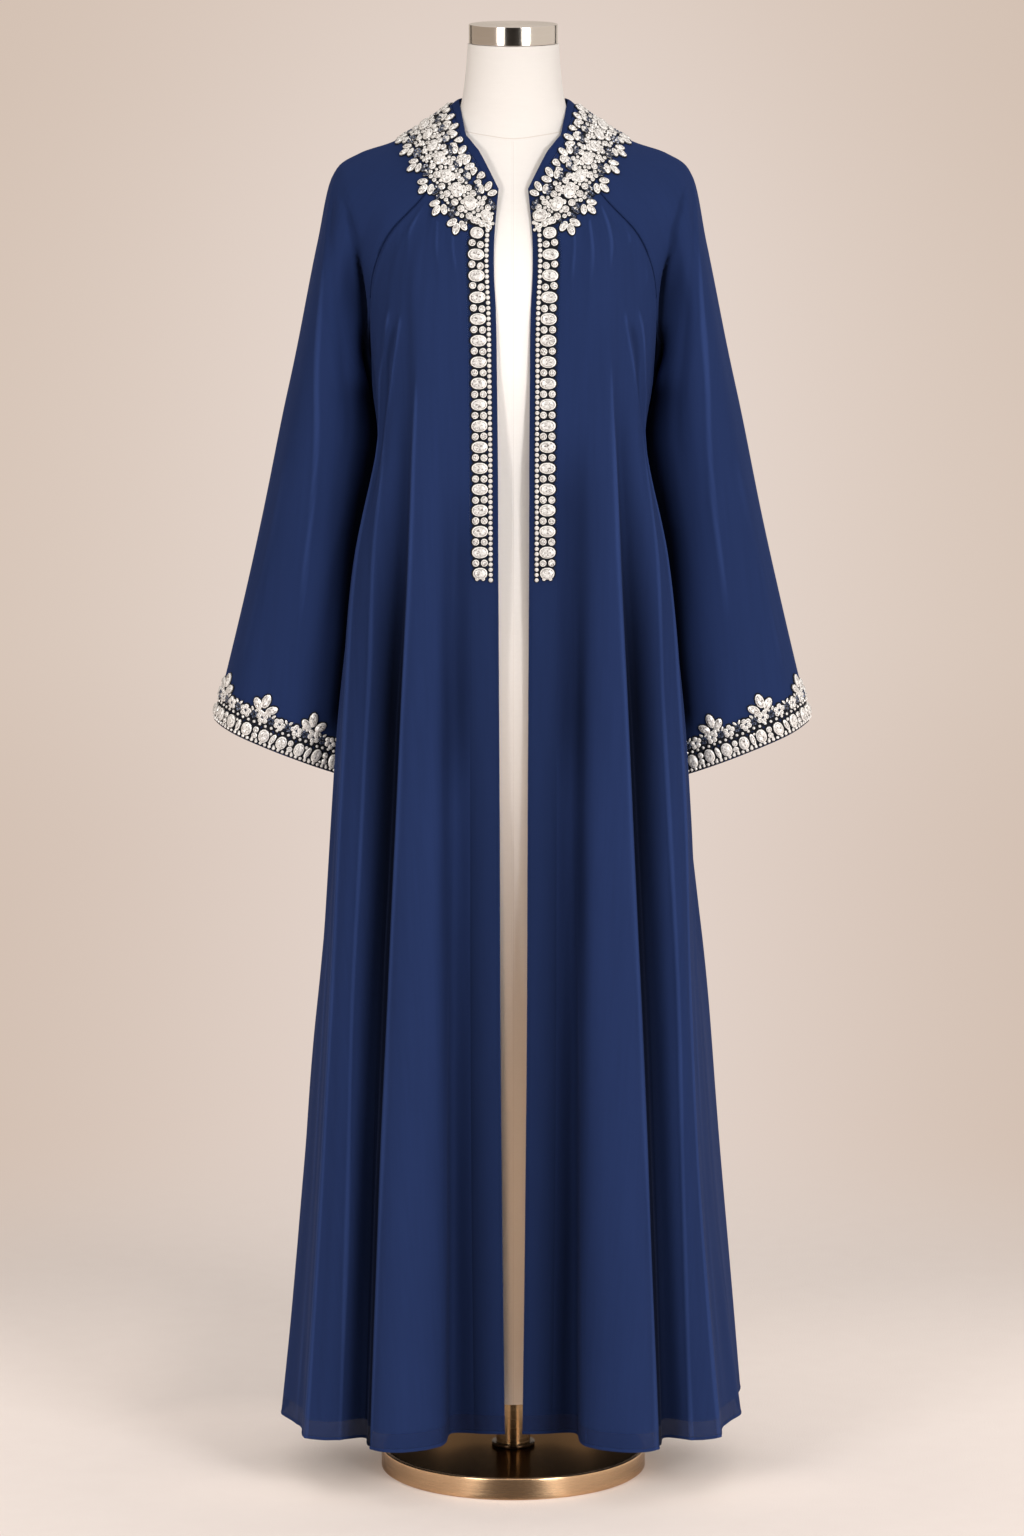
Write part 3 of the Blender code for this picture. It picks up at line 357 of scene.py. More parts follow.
def back_net():
    """(rows, folds, 3) from the left side seam over the centre to the right one."""
    half = len(BACK_FOLDS)
    net = np.zeros((len(ROWS), 2 * half - 1, 3))
    for j, (name, out, depth) in enumerate(BACK_FOLDS):
        grow = np.clip((np.arange(len(ROWS)) - 4) / 3.0, 0, 1)
        net[:, j, 0] = -np.array(out, float)
        net[:, j, 1] = depth
        k = 2 * half - 2 - j
        nearer = np.array(RIGHT_SIDE_IN) + 1.5 * grow if name == "side seam" else 0.0
        net[:, k, 0] = np.array(out) + RIGHT_BACK_SHIFT.get(name, 0.0) * grow - nearer
        net[:, k, 1] = depth
    for r in range(len(ROWS)):
        o = np.abs(net[r, :, 0])
        s = o / o[0]
        z = RAGLAN_BACK["z"][r] if r <= UNDERARM else EDGE_Z[r]
        net[r, :, 2] = BACK_CENTRE_Z[r] + (z - BACK_CENTRE_Z[r]) * s**2
    return net


def sleeve_net(side):
    """(rows, folds, 3) from the front seam over the ridge to the back seam."""
    count = len(SLEEVE_SHARES)
    net = np.zeros((len(SLEEVE_ROWS), 2 * count + 3, 3))
    for r in range(len(SLEEVE_ROWS)):
        nearer = RIGHT_SLEEVE_IN * min(1.0, max(0, r - 2) / 2) if side > 0 else 0.0
        ridge = np.array([side * (SLEEVE_RIDGE["out"][r] - nearer), SLEEVE_RIDGE["y"][r], SLEEVE_RIDGE["z"][r]])
        if r < UNDERARM:
            a = np.array([side * RAGLAN_FRONT["out"][r], RAGLAN_FRONT["y"][r], RAGLAN_FRONT["z"][r]])
            b = np.array([side * RAGLAN_BACK["out"][r], RAGLAN_BACK["y"][r], RAGLAN_BACK["z"][r]])
        else:
            q = r - UNDERARM
            a = np.array([side * SLEEVE_INNER["out"][q], SLEEVE_INNER["y"][q], SLEEVE_INNER["z"][q]])
            b = a.copy()
            if r == UNDERARM:
                a = np.array([side * RAGLAN_FRONT["out"][r], RAGLAN_FRONT["y"][r], RAGLAN_FRONT["z"][r]])
                b = a.copy()
        net[r, 0] = a
        net[r, count + 1] = ridge
        net[r, -1] = b
        for j, share in enumerate(SLEEVE_SHARES):
            p = a + (ridge - a) * share
            p[1] = SLEEVE_FRONT_Y[r][1][j]
            net[r, 1 + j] = p
            p = b + (ridge - b) * share
            p[1] = SLEEVE_BACK_Y[r][1][j]
            net[r, -2 - j] = p
    return net


def make_sheets():
    """All outer panels as smooth surfaces: front and sleeve by side, and the back."""
    fronts = {s: front_net(s) for s in (-1, 1)}
    back = back_net()
    sleeves = {s: sleeve_net(s) for s in (-1, 1)}
    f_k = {s: chord(fronts[s], slice(5, 13)) for s in fronts}
    bk = chord(back, slice(5, 13))
    sk = {s: chord(sleeves[s], slice(4, 9)) for s in sleeves}

    def slope(p, q, hp, hq, r_p, r_q):
        return (q[r_q] - p[r_p]) / (hp + hq)

    out = {}
    back_ends = {}
    for s in (-1, 1):
        f, sl = fronts[s], sleeves[s]
        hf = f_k[s][-1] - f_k[s][-2]
        hs0 = sk[s][1] - sk[s][0]
        hs1 = sk[s][-1] - sk[s][-2]
        # the back net runs left to right: its first fold is the left side seam
        b = back if s < 0 else back[:, ::-1]
        hb = (bk[1] - bk[0]) if s < 0 else (bk[-1] - bk[-2])
        n = len(ROWS)
        front_last = np.zeros((n, 3))
        back_end = np.zeros((n, 3))
        for r in range(n):
            if r < UNDERARM:
                front_last[r] = (sl[r, 1] - f[r, -2]) / (hf + hs0)
                back_end[r] = (sl[r, -2] - b[r, 1]) / (hb + hs1)
            else:
                front_last[r] = (b[r, 1] - f[r, -2]) / (hf + hb)
                back_end[r] = -front_last[r]
        m = len(SLEEVE_ROWS)
        sleeve_first = np.zeros((m, 3))
        sleeve_last = np.zeros((m, 3))
        for r in range(m):
            if r < UNDERARM:
                sleeve_first[r] = front_last[r]
                sleeve_last[r] = -back_end[r]
            else:
                t = (sl[r, 1] - sl[r, -2]) / (hs0 + hs1)
                sleeve_first[r] = t
                sleeve_last[r] = t
        out["front", s] = Sheet(ROW_KNOTS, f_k[s], f, None, front_last)
        out["sleeve", s] = Sheet(CUFF_KNOTS, sk[s], sl, sleeve_first, sleeve_last)
        back_ends[s] = back_end
    out["back"] = Sheet(ROW_KNOTS, bk, back, -back_ends[-1], back_ends[1])
    return out


# ---------------------------------------------------------------- small helpers
V_COLLAR = 90.0                  # row of the collar trim's outer edge
V_TRIM_FOOT = 477.0              # row of the front trims' lower end
V_HEM = 1413.0
V_LINING = V_HEM - LINING_UP
CUFF_END = 706.0
OUTER_WALL = 0.7                 # the visible chiffon is thinner than its solid
LINING_WALL = 0.45
LINING_DROP = 0.55               # clear space between the chiffon and the lining
SHEETS = make_sheets()


def unit(v):
    return v / np.maximum(np.linalg.norm(v, axis=-1, keepdims=True), 1e-12)


def smooth(x):
    x = np.clip(x, 0.0, 1.0)
    return x * x * (3 - 2 * x)


def spread(lo, hi, step, near=(), boost=3.0, width=4.0):
    """Samples from lo to hi about step apart, closer together beside the places in near."""
    fine = np.linspace(lo, hi, 4001)
    density = np.full(fine.shape, 1.0)
    for c in near:
        density += boost * np.exp(-(((fine - c) / width) ** 2))
    total = np.concatenate([[0], np.cumsum((density[1:] + density[:-1]) / 2 * np.diff(fine))])
    count = max(4, int(round(total[-1] / step)))
    return np.interp(np.linspace(0, total[-1], count + 1), total, fine)


def lengths(p, axis):
    """Arc length from the first row or column along each line of a grid."""
    d = np.linalg.norm(np.diff(p, axis=axis), axis=2)
    s = np.cumsum(d, axis=axis)
    first = np.zeros((1, p.shape[1]) if axis == 0 else (p.shape[0], 1))
    return np.concatenate([first, s], axis=axis)


def grid_normals(p, side):
    across = np.gradient(p, axis=1)
    down = np.gradient(p, axis=0)
    return unit(np.cross(across, down)) * side


def make_object(name, verts, faces, materials, face_material=None, shade=True, sharp=None,
                point_values=None, face_values=None, uv=None):
    """A mesh object from millimetre points and arrays of faces, one array for each number of corners."""
    verts = np.asarray(verts, float) * 0.001
    faces = [np.asarray(f, np.int32) for f in faces if len(f)]
    loops = np.concatenate([f.ravel() for f in faces])
    counts = np.concatenate([np.full(len(f), f.shape[1]) for f in faces])
    me = bpy.data.meshes.new(name)
    me.vertices.add(len(verts))
    me.vertices.foreach_set("co", verts.astype(np.float32).ravel())
    me.loops.add(len(loops))
    me.loops.foreach_set("vertex_index", loops)
    me.polygons.add(len(counts))
    me.polygons.foreach_set("loop_start", np.concatenate([[0], np.cumsum(counts)[:-1]]).astype(np.int32))
    if face_material is not None:
        me.polygons.foreach_set("material_index", np.asarray(face_material, np.int32))
    me.update(calc_edges=True)
    for key, values in (point_values or {}).items():
        me.attributes.new(key, "FLOAT", "POINT").data.foreach_set("value", np.asarray(values, np.float32).ravel())
    for key, values in (face_values or {}).items():
        me.attributes.new(key, "FLOAT", "FACE").data.foreach_set("value", np.asarray(values, np.float32).ravel())
    if uv is not None:
        layer = me.uv_layers.new(name="cut")
        layer.data.foreach_set("uv", np.asarray(uv, np.float32)[loops].ravel())
    for m in materials:
        me.materials.append(m)
    if shade:
        me.shade_smooth()
        if sharp:
            me.set_sharp_from_angle(angle=math.radians(sharp))
    else:
        me.shade_flat()
    ob = bpy.data.objects.new(name, me)
    bpy.context.scene.collection.objects.link(ob)
    return ob


def quads_of(rows, cols, offset=0, flip=False):
    idx = np.arange(rows * cols).reshape(rows, cols) + offset
    q = np.stack([idx[:-1, :-1], idx[:-1, 1:], idx[1:, 1:], idx[1:, :-1]], -1).reshape(-1, 4)
    return q[:, ::-1] if flip else q


def shell(outer, inner, side):
    """A closed wall between two grids; side is +1 where (across x down) points out."""
    rows, cols = outer.shape[:2]
    n = rows * cols
    faces = [quads_of(rows, cols), quads_of(rows, cols, n, True)]
    o = np.arange(n).reshape(rows, cols)
    loop = np.concatenate([o[0, :-1], o[:-1, -1], o[-1, :0:-1], o[:0:-1, 0]])
    nxt = np.roll(loop, -1)
    faces.append(np.stack([nxt, loop, loop + n, nxt + n], 1))
    f = np.concatenate(faces)
    if side < 0:
        f = f[:, ::-1]
    return np.concatenate([outer.reshape(-1, 3), inner.reshape(-1, 3)]), f


# ---------------------------------------------------------------- creases
# A crease is a soft ridge (height > 0) or trough (height < 0) along a line on a panel:
# (row, fold position) knots, height, half width, and how gently it starts and ends, all mm.
FRONT_CREASES = {
    -1: (
        # the two pleats that open under the bust, and the crest beside them
        (((196, 162), (262, 181), (312, 190), (387, 184), (612, 177), (1413, 177)), 1.6, 3.2, 22, 80),
        (((196, 191), (240, 207), (280, 220), (356, 211), (677, 202), (1413, 206)), 1.8, 3.4, 22, 80),
        (((205, 178), (262, 201), (330, 201), (470, 194)), -2.6, 7.0, 30, 130),
        (((235, 126), (340, 125.7), (630, 125.7), (1413, 126)), 1.4, 2.9, 60, 80),
        (((420, 151), (700, 153), (1413, 153)), -1.6, 9.0, 120, 80),
        (((400, 133.5), (700, 133), (1413, 131)), -2.6, 4.6, 300, 80),
        (((330, 52), (608, 54), (823, 58), (1038, 67), (1413, 78)), 0.9, 5.0, 160, 80),
        # gathers below the collar
        (((84, 216), (94, 205), (132, 164), (160, 146)), 1.5, 3.4, 5, 56),
        (((84, 116), (99, 103), (136, 82), (156, 74)), 1.4, 3.2, 5, 50),
        (((84, 58), (92, 56), (143, 42), (170, 38)), 1.3, 3.2, 5, 60),
        (((84, 160), (104, 138), (136, 118)), -1.1, 4.4, 5, 44),
        (((84, 84), (104, 76), (140, 62)), -1.0, 4.6, 5, 44),
        (((84, 262), (104, 232), (140, 196)), -0.9, 4.6, 5, 44),
        # long weak creases low on the panel
        (((560, 106), (900, 101), (1413, 96)), -0.8, 8.0, 200, 80),
        (((760, 232), (1000, 238), (1413, 243)), 1.2, 6.0, 160, 80),
        (((640, 262), (900, 270), (1413, 280)), -1.6, 9.0, 180, 80),
        (((900, 193), (1150, 194), (1413, 195)), -1.2, 6.0, 160, 80),
        # drags from the underarm
        (((232, 262), (300, 240), (380, 226)), -1.6, 9.0, 40, 80),
        (((262, 286), (330, 268), (420, 256)), 1.3, 8.0, 40, 90),
    ),
    1: (
        (((192, 163), (256, 181), (314, 192), (385, 187), (612, 180), (1413, 180)), 1.6, 3.2, 22, 80),
        (((192, 192), (243, 210), (290, 218), (356, 210), (640, 203), (1413, 207)), 1.7, 3.4, 22, 80),
        (((202, 177), (260, 198), (330, 199), (450, 193)), -2.5, 7.0, 30, 120),
        (((218, 130), (308, 128), (630, 127), (1413, 127)), 1.4, 2.9, 60, 80),
        (((430, 152), (720, 154), (1413, 155)), -1.5, 9.0, 120, 80),
        (((410, 135), (700, 134.5), (1413, 132.5)), -2.6, 4.6, 280, 80),
        (((360, 52), (620, 54), (850, 59), (1060, 68), (1413, 77)), 0.9, 5.0, 160, 80),
        # gathers, more of them on this side
        (((84, 60), (93, 57.5), (150, 47), (176, 44)), 1.4, 3.0, 5, 56),
        (((84, 86), (100, 78), (136, 66)), -1.2, 4.0, 5, 40),
        (((84, 118), (92, 111), (151, 88), (180, 82)), 1.6, 3.2, 5, 66),
        (((84, 152), (104, 132), (140, 112)), -1.3, 4.2, 5, 44),
        (((84, 206), (97, 183), (148, 131), (176, 120)), 1.6, 3.4, 5, 66),
        (((84, 238), (104, 206), (146, 160)), -1.2, 4.2, 5, 44),
        (((88, 298), (105, 266), (142, 188), (168, 168)), 1.4, 3.6, 8, 56),
        (((120, 296), (150, 250), (185, 214), (206, 200)), 1.1, 4.4, 14, 60),
        (((600, 108), (930, 102), (1413, 95)), -0.8, 8.0, 200, 80),
        (((800, 230), (1040, 236), (1413, 240)), 1.1, 6.0, 160, 80),
        (((620, 258), (900, 268), (1413, 276)), -1.5, 9.0, 180, 80),
        (((940, 192), (1180, 193), (1413, 194)), -1.1, 6.0, 160, 80),
        (((228, 258), (300, 238), (390, 224)), -1.0, 9.0, 40, 80),
        (((258, 282), (330, 264), (430, 252)), 1.3, 8.0, 40, 90),
    ),
}
SLEEVE_CREASES = {
    -1: (
        # from the tip of the shoulder down the front of the sleeve
        (((158, 150), (171, 142), (235, 112), (302, 98), (452, 84), (640, 78)), 1.5, 4.2, 24, 150),
        (((158, 132), (170, 82), (202, 42), (238, 26), (295, 20), (352, 8)), -3.2, 9.0, 16, 50),
        (((160, 150), (190, 122), (240, 80), (300, 58), (400, 50)), -1.4, 8.0, 30, 90),
        (((178, 66), (202, 43), (238, 27), (270, 20), (306, 14)), -6.0, 4.2, 26, 40),
        (((330, 120), (430, 124), (560, 128), (672, 128)), 0.9, 9.0, 90, 70),
        (((300, 60), (400, 62), (520, 60)), -1.3, 11.0, 80, 110),
        (((470, 108), (560, 106), (668, 102)), -0.8, 8.0, 70, 60),
        # back of the sleeve
        (((160, 196), (230, 204), (330, 210), (480, 214), (650, 216)), 1.3, 6.0, 60, 120),
        (((160, 190), (176, 240), (206, 276), (262, 304), (340, 322)), -2.8, 10.0, 20, 60),
        (((330, 250), (440, 246), (600, 240)), -1.5, 11.0, 90, 110),
        (((380, 276), (500, 272), (660, 268)), 1.2, 8.0, 90, 80),
    ),
    1: (
        (((158, 156), (171, 147), (212, 114), (255, 100), (340, 92), (460, 84), (640, 80)), 1.5, 4.2, 24, 150),
        (((158, 130), (168, 96), (182, 66), (197, 42), (237, 22), (290, 15), (340, 6)), -3.2, 9.0, 16, 50),
        (((160, 148), (190, 120), (240, 78), (300, 56), (400, 50)), -1.4, 8.0, 30, 90),
        (((178, 68), (197, 43), (237, 24), (264, 18), (300, 12)), -6.0, 4.2, 26, 40),
        (((350, 116), (450, 120), (560, 126), (672, 126)), 0.9, 9.0, 90, 70),
        (((290, 58), (390, 60), (540, 58)), -1.3, 11.0, 80, 120),
        (((450, 106), (560, 103), (668, 98)), -0.8, 8.0, 70, 60),
        (((160, 194), (230, 202), (330, 208), (480, 211), (640, 213)), 1.3, 6.0, 60, 120),
        (((160, 188), (176, 238), (206, 272), (262, 300), (340, 318)), -2.8, 10.0, 20, 60),
        (((350, 246), (450, 242), (600, 236)), -1.5, 11.0, 90, 110),
        (((370, 272), (500, 269), (655, 266)), 1.2, 8.0, 90, 80),
    ),
}
BACK_CREASES = (
    # fold positions run from the left side seam (0) over the centre (299) to the right one (602)
    (((190, 79), (330, 80), (700, 79), (1413, 79)), 1.3, 4.0, 80, 80),
    (((240, 128), (520, 128), (900, 128), (1413, 128)), -2.2, 10.0, 120, 80),
    (((150, 178), (300, 176), (620, 175), (1413, 175)), 1.5, 3.6, 60, 80),
    (((420, 206), (760, 206), (1413, 208)), 1.0, 6.0, 160, 80),
    (((260, 225), (500, 226), (900, 225), (1413, 224)), -2.0, 9.0, 120, 80),
    (((130, 262), (300, 260), (620, 260), (1413, 260)), 1.4, 3.6, 50, 80),
    (((520, 299), (820, 298), (1413, 297)), -1.4, 9.0, 180, 80),
    (((140, 337), (320, 339), (620, 339), (1413, 339)), 1.4, 3.8, 60, 80),
    (((280, 376), (520, 376), (900, 376), (1413, 375)), -2.0, 9.0, 120, 80),
    (((170, 428), (340, 428), (640, 428), (1413, 428)), 1.4, 3.6, 60, 80),
    (((460, 402), (800, 403), (1413, 404)), 0.9, 6.0, 160, 80),
    (((260, 474), (520, 474), (900, 474), (1413, 474)), -2.1, 10.0, 120, 80),
    (((200, 522), (360, 522), (700, 522), (1413, 522)), 1.3, 4.0, 80, 80),
    # gathers under the collar
    (((84, 196), (112, 208), (164, 216)), 1.5, 3.6, 5, 70),
    (((84, 219), (104, 226), (136, 232)), -1.2, 4.4, 5, 44),
    (((84, 242), (112, 248), (172, 254)), 1.6, 3.6, 5, 80),
    (((84, 264), (100, 267), (128, 270)), -1.2, 4.6, 5, 40),
    (((84, 284), (110, 287), (150, 289)), 1.4, 3.6, 5, 60),
    (((84, 305), (104, 305), (142, 304)), -1.2, 4.6, 5, 52),
    (((84, 328), (112, 326), (176, 324)), 1.6, 3.6, 5, 84),
    (((84, 350), (100, 347), (130, 343)), -1.1, 4.4, 5, 42),
    (((84, 374), (110, 366), (156, 358)), 1.5, 3.6, 5, 66),
    (((84, 396), (104, 388), (138, 380)), -1.1, 4.4, 5, 50),
    (((84, 420), (112, 408), (166, 398)), 1.3, 3.8, 5, 76),
    # drags from the underarms
    (((236, 40), (310, 62), (400, 76)), -1.6, 10.0, 40, 90),
    (((236, 562), (310, 540), (400, 526)), -1.6, 10.0, 40, 90),
    (((262, 22), (340, 40), (440, 50)), 1.2, 8.0, 40, 90),
    (((262, 580), (340, 562), (440, 552)), 1.2, 8.0, 40, 90),
)


def crease(u, v, arc, line, height, width, rise, fall):
    """Height of one crease over a panel; arc is the distance of every point from the panel's left edge."""
    line = np.asarray(line, float)
    centre = pchip(line[:, 0], line[:, 1], np.clip(v, line[0, 0], line[-1, 0]))
    at = np.array([np.interp(c, u, row) for c, row in zip(centre, arc)])
    slope = np.gradient(at, v)
    fade = smooth((v - line[0, 0]) / rise)
    if line[-1, 0] < V_HEM - 1:
        fade = fade * smooth((line[-1, 0] - v) / fall)
    across = (arc - at[:, None]) / np.sqrt(1 + slope**2)[:, None]
    return height * fade[:, None] * np.exp(-((across / width) ** 2))


def wander(u, v, seed, amount):
    """Very weak long waves, so that no stretch of cloth is quite smooth."""
    rng = np.random.default_rng(seed)
    out = np.zeros((len(v), len(u)))
    for k in range(14):
        wide = rng.uniform(22, 70)
        long = rng.uniform(240, 900)
        slant = rng.uniform(-0.10, 0.10)
        phase = rng.uniform(0, 2 * np.pi)
        out += rng.uniform(0.4, 1.0) * np.sin(2 * np.pi * ((u[None, :] + slant * v[:, None]) / wide) + phase) * \
            np.sin(2 * np.pi * v[:, None] / long + rng.uniform(0, 2 * np.pi))
    return amount * out / 4.0


def painted_fold_shade(key, side, power):
    """How far the folds on both sides close in on each point of a panel: 0 on open cloth, near 1 deep in a fold.  The
    cloth's colour is darkened by it, as painted shade.
    """
    sheet = SHEETS[key]
    u = np.linspace(sheet.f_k[0], sheet.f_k[-1], 120)
    v = np.linspace(sheet.rk[0], sheet.rk[-1], 130)
    p, n = sheet.frame(u, v, side)
    high = [np.zeros(p.shape[:2]), np.zeros(p.shape[:2])]
    for k in range(1, 36):
        for w in (0, 1):
            here = (slice(None), slice(k, None)) if w == 0 else (slice(None), slice(None, -k))
            there = (slice(None), slice(None, -k)) if w == 0 else (slice(None), slice(k, None))
            d = p[there] - p[here]
            r = np.linalg.norm(d, axis=2)
            rise = (d * n[here]).sum(2) / r * smooth((150.0 - r) / 90.0)
            high[w][here] = np.maximum(high[w][here], rise)
    seen = sum(np.sqrt(np.clip(1 - h * h, 0, 1)) for h in high) / 2
    return u, v, 1 - seen**power


def at_grid(table, u, v):
    tu, tv, q = table
    across = np.array([np.interp(u, tu, row) for row in q])
    return np.array([np.interp(v, tv, across[:, i]) for i in range(len(u))]).T


# painted shade for the folds of every panel
PAINTED_FOLD_SHADE = {key: painted_fold_shade(key, 1 if key == "back" else -key[1], PAINTED_SHADE_POWER) for key in SHEETS}


class Panel:
    """One panel sampled as a grid, with its creases, its normals and its distances to its own edges."""

    def __init__(self, key, side, u, v, creases=(), seed=0, waver=0.0, still_to=None, roll=(0, 0), roll_width=1.5):
        self.side = side
        self.u, self.v = u, v
        p, n = SHEETS[key].frame(u, v, side)
        arc = lengths(p, 1)
        self.left, self.right = arc, arc[:, -1:] - arc
        d = np.zeros(p.shape[:2])
        for line, height, width, rise, fall in creases:
            d += crease(u, v, arc, line, height, width, rise, fall)
        if waver:
            w = wander(u, v, seed, waver)
            d += w if still_to is None else w * smooth((v - still_to) / 60.0)[:, None]
        d *= smooth(self.left / 14.0) * smooth(self.right / 14.0)
        d -= roll[0] * np.exp(-((self.left / roll_width) ** 2)) + roll[1] * np.exp(-((self.right / roll_width) ** 2))
        self.p = p + n * d[..., None]
        self.n = grid_normals(self.p, side)
        self.lift = d
        # painted fold shade and painted highlights, which the cloth's colour reads from the mesh
        self.painted_shade = at_grid(PAINTED_FOLD_SHADE[key], u, v)
        self.bright = np.zeros_like(d)

    def knife(self, crest, foot, start, full):
        """Paints the shade of a fold laid flat like a knife pleat into the cloth's colour: darkest right under its
        crest, lighter up to the foot of the next one.
        """
        arc = self.left
        a = np.array([np.interp(crest, self.u, row) for row in arc])[:, None]
        b = np.array([np.interp(foot, self.u, row) for row in arc])[:, None]
        t = (arc - a) / (b - a)
        on = smooth((self.v - start) / full)[:, None]
        inside = smooth((t + 0.02) / 0.05) * smooth((1.25 - t) / 0.3)
        deep = np.interp(t, (0.0, 0.30, 0.42, 0.52, 0.60, 0.75, 1.0), (0.97, 0.93, 0.68, 0.44, 0.17, 0.05, 0.0))
        self.painted_shade = self.painted_shade * (1 - on * inside) + on * inside * (deep + 0.05 * self.painted_shade)
        return self

    def tuck(self, s):
        """Under the arm a sleeve's inner side lies against the body, and no light gets in between: the side is drawn in
        toward the body, and painted shade darkens it there and where the sleeve passes behind the body's outline.
        """
        p = self.p
        z = p[..., 2]
        inner = np.array([np.abs(row[:, 0]).min() for row in p])[:, None]
        window = smooth((1236.0 - z) / 44.0) * smooth((z - 1000.0) / 90.0)
        p[..., 0] -= s * 6.0 * window * np.exp(-(((np.abs(p[..., 0]) - inner) / 15.0) ** 2))
        self.n = grid_normals(p, self.side)
        # painted shade along the sleeve's edges at the underarm seam
        shut = smooth((1285.0 - z) / 40.0) * smooth((z - 880.0) / 160.0)
        dark = np.exp(-((self.left / 15.0) ** 2)) + np.exp(-((self.right / 15.0) ** 2))
        self.painted_shade = np.maximum(self.painted_shade, np.clip(dark * 1.25, 0, 1) * shut)
        # where the sleeve passes behind the body's outline, the body's shadow is painted on it
        wide = np.abs(p[..., 0]) / (1 + p[..., 1] / 7680.0)
        near = smooth((1212.0 - z) / 30.0) * smooth((z - 795.0) / 50.0)
        soft = np.interp(z, (930.0, 1070.0), (9.0, 17.0))
        for key, way in ((("front", s), -1), ("back", 1)):
            sheet = SHEETS[key]
            q, _ = sheet.frame(np.linspace(sheet.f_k[0], sheet.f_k[-1], 240), np.linspace(180.0, 760.0, 240), 1)
            q = q[(q[..., 0] * s) > 0]
            reach_x = np.abs(q[:, 0]) / (1 + q[:, 1] / 7680.0)
            levels = np.arange(760.0, 1260.0, 10.0)
            outline = np.array([reach_x[np.abs(q[:, 2] - h) < 9.0].max() for h in levels])
            d = np.clip(wide - np.interp(z, levels, outline), 0, None)
            facing = smooth((self.n[..., 1] * way + 0.15) / 0.3)
            self.painted_shade = np.maximum(self.painted_shade, facing * near * np.clip(1.3 * np.exp(-((d / soft) ** 1.3)), 0, 1))

    def shade(self, middle, wide, start, end, amount):
        """A broad soft shadow painted down the panel; a negative amount paints light instead."""
        arc = self.left
        a = np.array([np.interp(middle, self.u, row) for row in arc])[:, None]
        on = smooth((self.v - start) / 110.0) * smooth((end - self.v) / 130.0)
        self.painted_shade = self.painted_shade + amount * on[:, None] * np.exp(-(((arc - a) / wide) ** 2))
        return self

    def gleam(self, crest, wide, amount, start, full, way=-1):
        """Paints a highlight on the lit slope just before a crest."""
        arc = self.left
        a = np.array([np.interp(crest, self.u, row) for row in arc])[:, None]
        d = (arc - a) * way
        on = smooth((self.v - start) / full)[:, None]
        self.bright += amount * on * np.exp(-((np.clip(d, 0, None) / wide) ** 2)) * smooth((d + 2.2) / 2.2)
        return self

    def edge_gap(self, gap, l=True, r=True, t=False, b=False):
        """Draws the edges back half a seam."""
        p = self.p
        if l:
            p[:, 0] += gap * unit(p[:, 1] - p[:, 0])
        if r:
            p[:, -1] -= gap * unit(p[:, -1] - p[:, -2])
        if t:
            p[0] += gap * unit(p[1] - p[0])
        if b:
            p[-1] -= gap * unit(p[-1] - p[-2])
        return self


def cloth(name, panel, top, bottom, materials, hem_v=None, rows=slice(None)):
    """A thin closed shell of a panel between two depths under its face (mm), with the attributes that the materials read."""
    p, n = panel.p[rows], panel.n[rows]
    v = panel.v[rows]
    verts, faces = shell(p - n * top, p - n * bottom, panel.side)
    down = lengths(p, 0)
    hem = (down[-1:] - down) if hem_v else np.full(down.shape, 999.0)
    left, right = panel.left[rows], panel.right[rows]
    both = lambda q: np.concatenate([q.ravel(), q.ravel()])
    uv = np.stack([both(left) * 0.001, both(down) * 0.001], 1)
    # the crest attribute carries the crease height plus the painted highlights, and the fold-shade attribute the
    # painted shade
    ob = make_object(name, verts, [faces], materials, sharp=42, uv=uv,
                     point_values={"hem": both(hem), "edge_l": both(left), "edge_r": both(right), "crest": both(panel.lift[rows] + panel.bright[rows]),
                                   "painted_shade": both(panel.painted_shade[rows])})
    return ob


